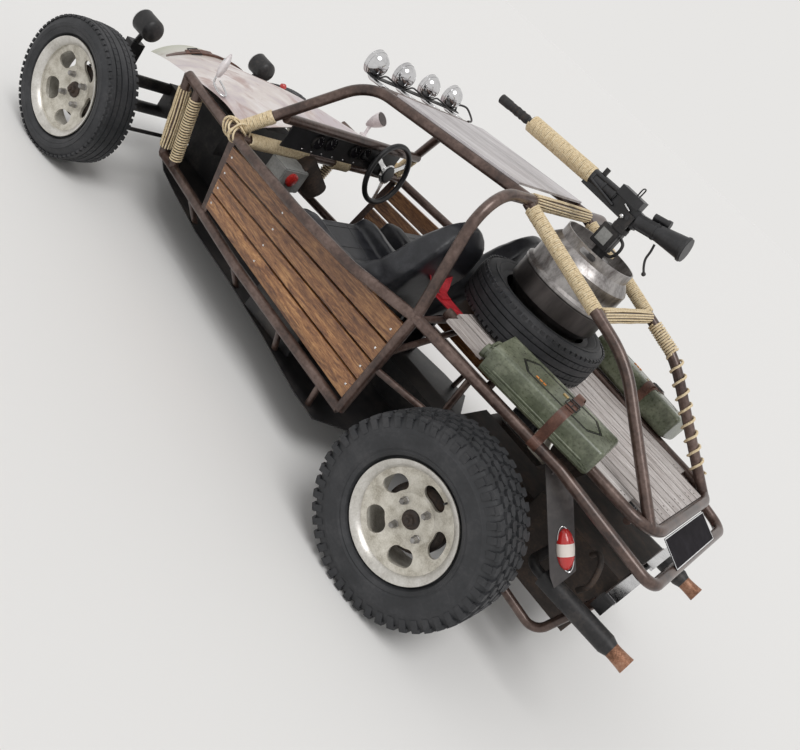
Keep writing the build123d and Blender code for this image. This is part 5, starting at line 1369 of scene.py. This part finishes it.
parts = [(addBox, spot(-0.580, 0.215, 0.542), (0.044, 0.310, 0.014), (1, 0, 0), (-0.25, 0, 1)),
         (addBox, spot(-0.574, -0.225, 0.540), (0.034, 0.285, 0.012), (1, 0, 0), (-0.25, 0, 1))]
shape("chromeStrips", "chromeTrim", parts, bevel=0.001)
barX, barY, barZ = tailLook["barX"], tailLook["barY"], tailLook["barZ"]
parts = [(addRod, *spots((barX, barY, barZ), (barX, -barY, barZ)), 0.0110, 14)]
for y in (0.330, -0.330):
    parts.append((addRod, *spots((barX, y, barZ), (-0.540, y * 1.15, 0.466)), 0.0080, 12))
parts.append((addBox, spot(-0.574, 0.385, 0.515), (0.050, 0.045, 0.050)))
shape("stripCarrier", "blackSteel", parts)
hose = spots((-0.430, 0.300, 0.562), (-0.445, 0.330, 0.600), (-0.480, 0.370, 0.590), (-0.505, 0.400, 0.530),
             (-0.490, 0.395, 0.480))
shape("breatherHose", "rustIron", [(addPipe, hose, 0.0105, 14)])
shape("roundLamp", "redPaint", [(addTurned, spot(-0.566, 0.030, 0.530), (-1, 0, 0), tailLook["lamp"], 24)])
parts = []
for side in (1, -1):
    centre, across = flip(lampMiddle, side), flip(Vector(lensLook["across"]), side)
    out = down.cross(across).normalized() * side
    ring = []
    for a in turns(40):
        rim = down * tailLook["lensUp"] * math.cos(a) + across * tailLook["lensAcross"] * math.sin(a)
        ring.append(centre + rim + out * 0.002)
    parts.append((addSwept, ring, roundSection(0.0020, 8), out, True))
shape("tailLampRims", "chromeTrim", parts)
print("tail")


# screws in the slats and the deck boards
slatRows = {"x": (1.5727, 0.5363), "topZ": (0.664, 0.722), "lowZ": (0.372, 0.352), "count": 4,
            "places": (0.018, 0.35, 0.975)}
points, facings = [], []
for side in (1, -1):
    for k in range(slatRows["count"]):
        for t in slatRows["places"]:
            top, low = share(*slatRows["topZ"], t), share(*slatRows["lowZ"], t)
            start = spot(share(*slatRows["x"], t), side * 0.9, share(top, low, (k + 0.5) / slatRows["count"]))
            hit = nodes["side_slats"].ray_cast(start, Vector((0, -side, 0)))
            if hit[0]:
                points.append(hit[1])
                facings.append(hit[2])
screws("slatScrews", points, facings, 0.0048, 0.45, "polishedAlloy")
boardRows = {"first": -0.362, "pitch": 0.0724, "count": 10, "z": 0.8138, "inset": 0.115,
             "x": (-0.474, -0.456, 0.455, 0.478)}
points = []
for k in range(boardRows["count"]):
    y = boardRows["first"] + boardRows["pitch"] * (k + 0.5)
    outer = k in (0, boardRows["count"] - 1)
    for x in boardRows["x"]:
        start = x + boardRows["inset"] if outer and x < 0 else x
        points.append(spot(start, y + (0.014 if start < 0 else -0.012), boardRows["z"]))
screws("boardScrews", points, [Vector((0, 0, 1))] * len(points), 0.0038, 0.25, "rustIron")
print("screws")


# short boards outside the deck, ahead of the cans: inner edge, outer edge and front end
sideBoards = {"spans": ((0.446, 0.545, 0.446), (0.383, 0.436, 0.470)), "rear": 0.262, "z": 0.8335,
              "thick": 0.014}
rear = sideBoards["rear"]
for side, mark in halves:
    parts = []
    for inner, outer, front in sideBoards["spans"]:
        centre = spot((front + rear) / 2, side * (inner + outer) / 2, sideBoards["z"])
        parts.append((addBox, centre, (front - rear, outer - inner, sideBoards["thick"])))
    shape("sideBoards" + mark, "greyBoard", parts, bevel=0.0012)

# roof lamps: the flat bar over their arms, and the cable looped back to it
barLook = {"x": 1.418, "z": 1.1845, "size": (0.030, 0.700, 0.004), "lamps": (0.300, 0.100, -0.100, -0.300),
           "bolt": [(0, -0.001), (0.0085, -0.001), (0.0085, 0.006), (0, 0.007)]}
cable = spots((1.418, -0.335, 1.188), (1.440, -0.365, 1.205), (1.415, -0.395, 1.218), (1.370, -0.392, 1.205),
              (1.340, -0.372, 1.195), (1.333, -0.335, 1.191))
parts = [(addBox, spot(barLook["x"], 0, barLook["z"]), barLook["size"])]
parts += [(addTurned, spot(barLook["x"], y, 1.1865), (0, 0, 1), barLook["bolt"], 6) for y in barLook["lamps"]]
parts.append((addPipe, cable, 0.0045, 10))
for y in barLook["lamps"][:3]:
    loop = spots((1.418, y - 0.02, 1.188), (1.425, y - 0.06, 1.200), (1.425, y - 0.10, 1.196),
                 (1.418, y - 0.15, 1.188))
    parts.append((addPipe, loop, 0.0035, 8))
shape("lampBar", "blackSteel", parts)
print("roof lamps")

# rim lips: a turned edge inside each outer flange, in a lighter, glossier alloy that paints a highlight on
# the rim barrel
for mark, (site, side) in wheelSites.items():
    centre = spot(site["x"], side * site["outer"], site["z"])
    lip = (addTurned, centre, (0, -side, 0), hubLook["lip"], 72, True)
    shape("rimLip_" + mark, "lipHighlightAlloy", [lip], "wheel_" + mark, smooth=50)
print("rim lips")


# glass and bright rims on the headlamps and the roof lamps
lampFaces = {"headlamp": (2.540, 0.640, 0.053, (0.380, -0.380)),
             "roofLamp": (1.4655, 1.223, 0.052, barLook["lamps"])}
for name, (x, z, r, ys) in lampFaces.items():
    face = [(0, -0.0005), (r - 0.006, -0.0005), (r - 0.006, 0.0015), (r * 0.6, 0.0065), (r * 0.3, 0.0088),
            (0, 0.0095)]
    rim = [(r - 0.0062, -0.0005), (r + 0.0005, -0.0020), (r + 0.0012, 0.0010), (r - 0.0020, 0.0042),
           (r - 0.0062, 0.0030)]
    centres = [spot(x, y, z) for y in ys]
    shape(name + "Glass", "lampGlass", [(addTurned, p, (1, 0, 0), face, 36) for p in centres], smooth=60)
    shape(name + "Rims", "chromeTrim", [(addTurned, p, (1, 0, 0), rim, 36, True) for p in centres], smooth=60)
print("lamp faces")


# studio: floor, light and the camera
floorLook = {"tone": (0.80, 0.79, 0.775), "half": 30.0, "roughness": 0.9}
floorPaint, _ = startFinish("studioFloor", floorLook["tone"], floorLook["roughness"])
half = floorLook["half"]
floorMesh = bpy.data.meshes.new("floor")
corners = [(x, y, 0) for x, y in flatSection(half, half)]
floorMesh.from_pydata(corners, [], [(0, 1, 2, 3)])
floorMesh.materials.append(floorPaint)
floor = addObject("floor", floorMesh)

lightLook = {"sky": 0.62, "ground": (0.80, 0.79, 0.775), "sun": 1.35, "soft": 30.0,
             "toSun": (-0.30, 0.45, 1.0)}
world = bpy.data.worlds.new("studio")
bpy.context.scene.world = world
world.use_nodes = True
tree = world.node_tree
background = tree.nodes["Background"]
background.inputs["Strength"].default_value = lightLook["sky"]
background.inputs["Color"].default_value = (1.0, 1.0, 1.0, 1.0)
seen = put(tree, "ShaderNodeBackground", Color=(*lightLook["ground"], 1.0))
rays = tree.nodes.new("ShaderNodeLightPath").outputs
shows = rays["Is Camera Ray"]
for label in ("Is Transmission Ray", "Is Glossy Ray"):
    shows = calc(tree, "MAXIMUM", shows, rays[label])
chooser = put(tree, "ShaderNodeMixShader", s0=shows, s1=background.outputs[0], s2=seen.outputs[0])
tree.links.new(chooser.outputs[0], tree.nodes["World Output"].inputs["Surface"])
sunData = bpy.data.lights.new("sun", "SUN")
sunData.energy = lightLook["sun"]
sunData.angle = math.radians(lightLook["soft"])
sun = addObject("sun", sunData)
sun.rotation_mode = "QUATERNION"
sun.rotation_quaternion = Vector(lightLook["toSun"]).to_track_quat("Z", "Y")

cameraLook = {"lens": 40.54, "sensor": 36.0, "place": (-1.5889, 3.2433, 1.8661),
              "right": (-0.605899, -0.527379, 0.595615), "up": (0.721199, -0.048108, 0.691055)}
cameraData = bpy.data.cameras.new("camera")
cameraData.lens = cameraLook["lens"]
cameraData.sensor_width = cameraLook["sensor"]
cameraData.sensor_fit = "HORIZONTAL"
cameraData.dof.use_dof = False
camera = addObject("camera", cameraData)
right, up = Vector(cameraLook["right"]).normalized(), Vector(cameraLook["up"])
up = (up - right * up.dot(right)).normalized()
turn = Matrix((right, up, right.cross(up))).transposed()
camera.matrix_world = Matrix.Translation(cameraLook["place"]) @ turn.to_4x4()
bpy.context.scene.camera = camera
bpy.context.scene.view_settings.view_transform = "Standard"
print("studio")
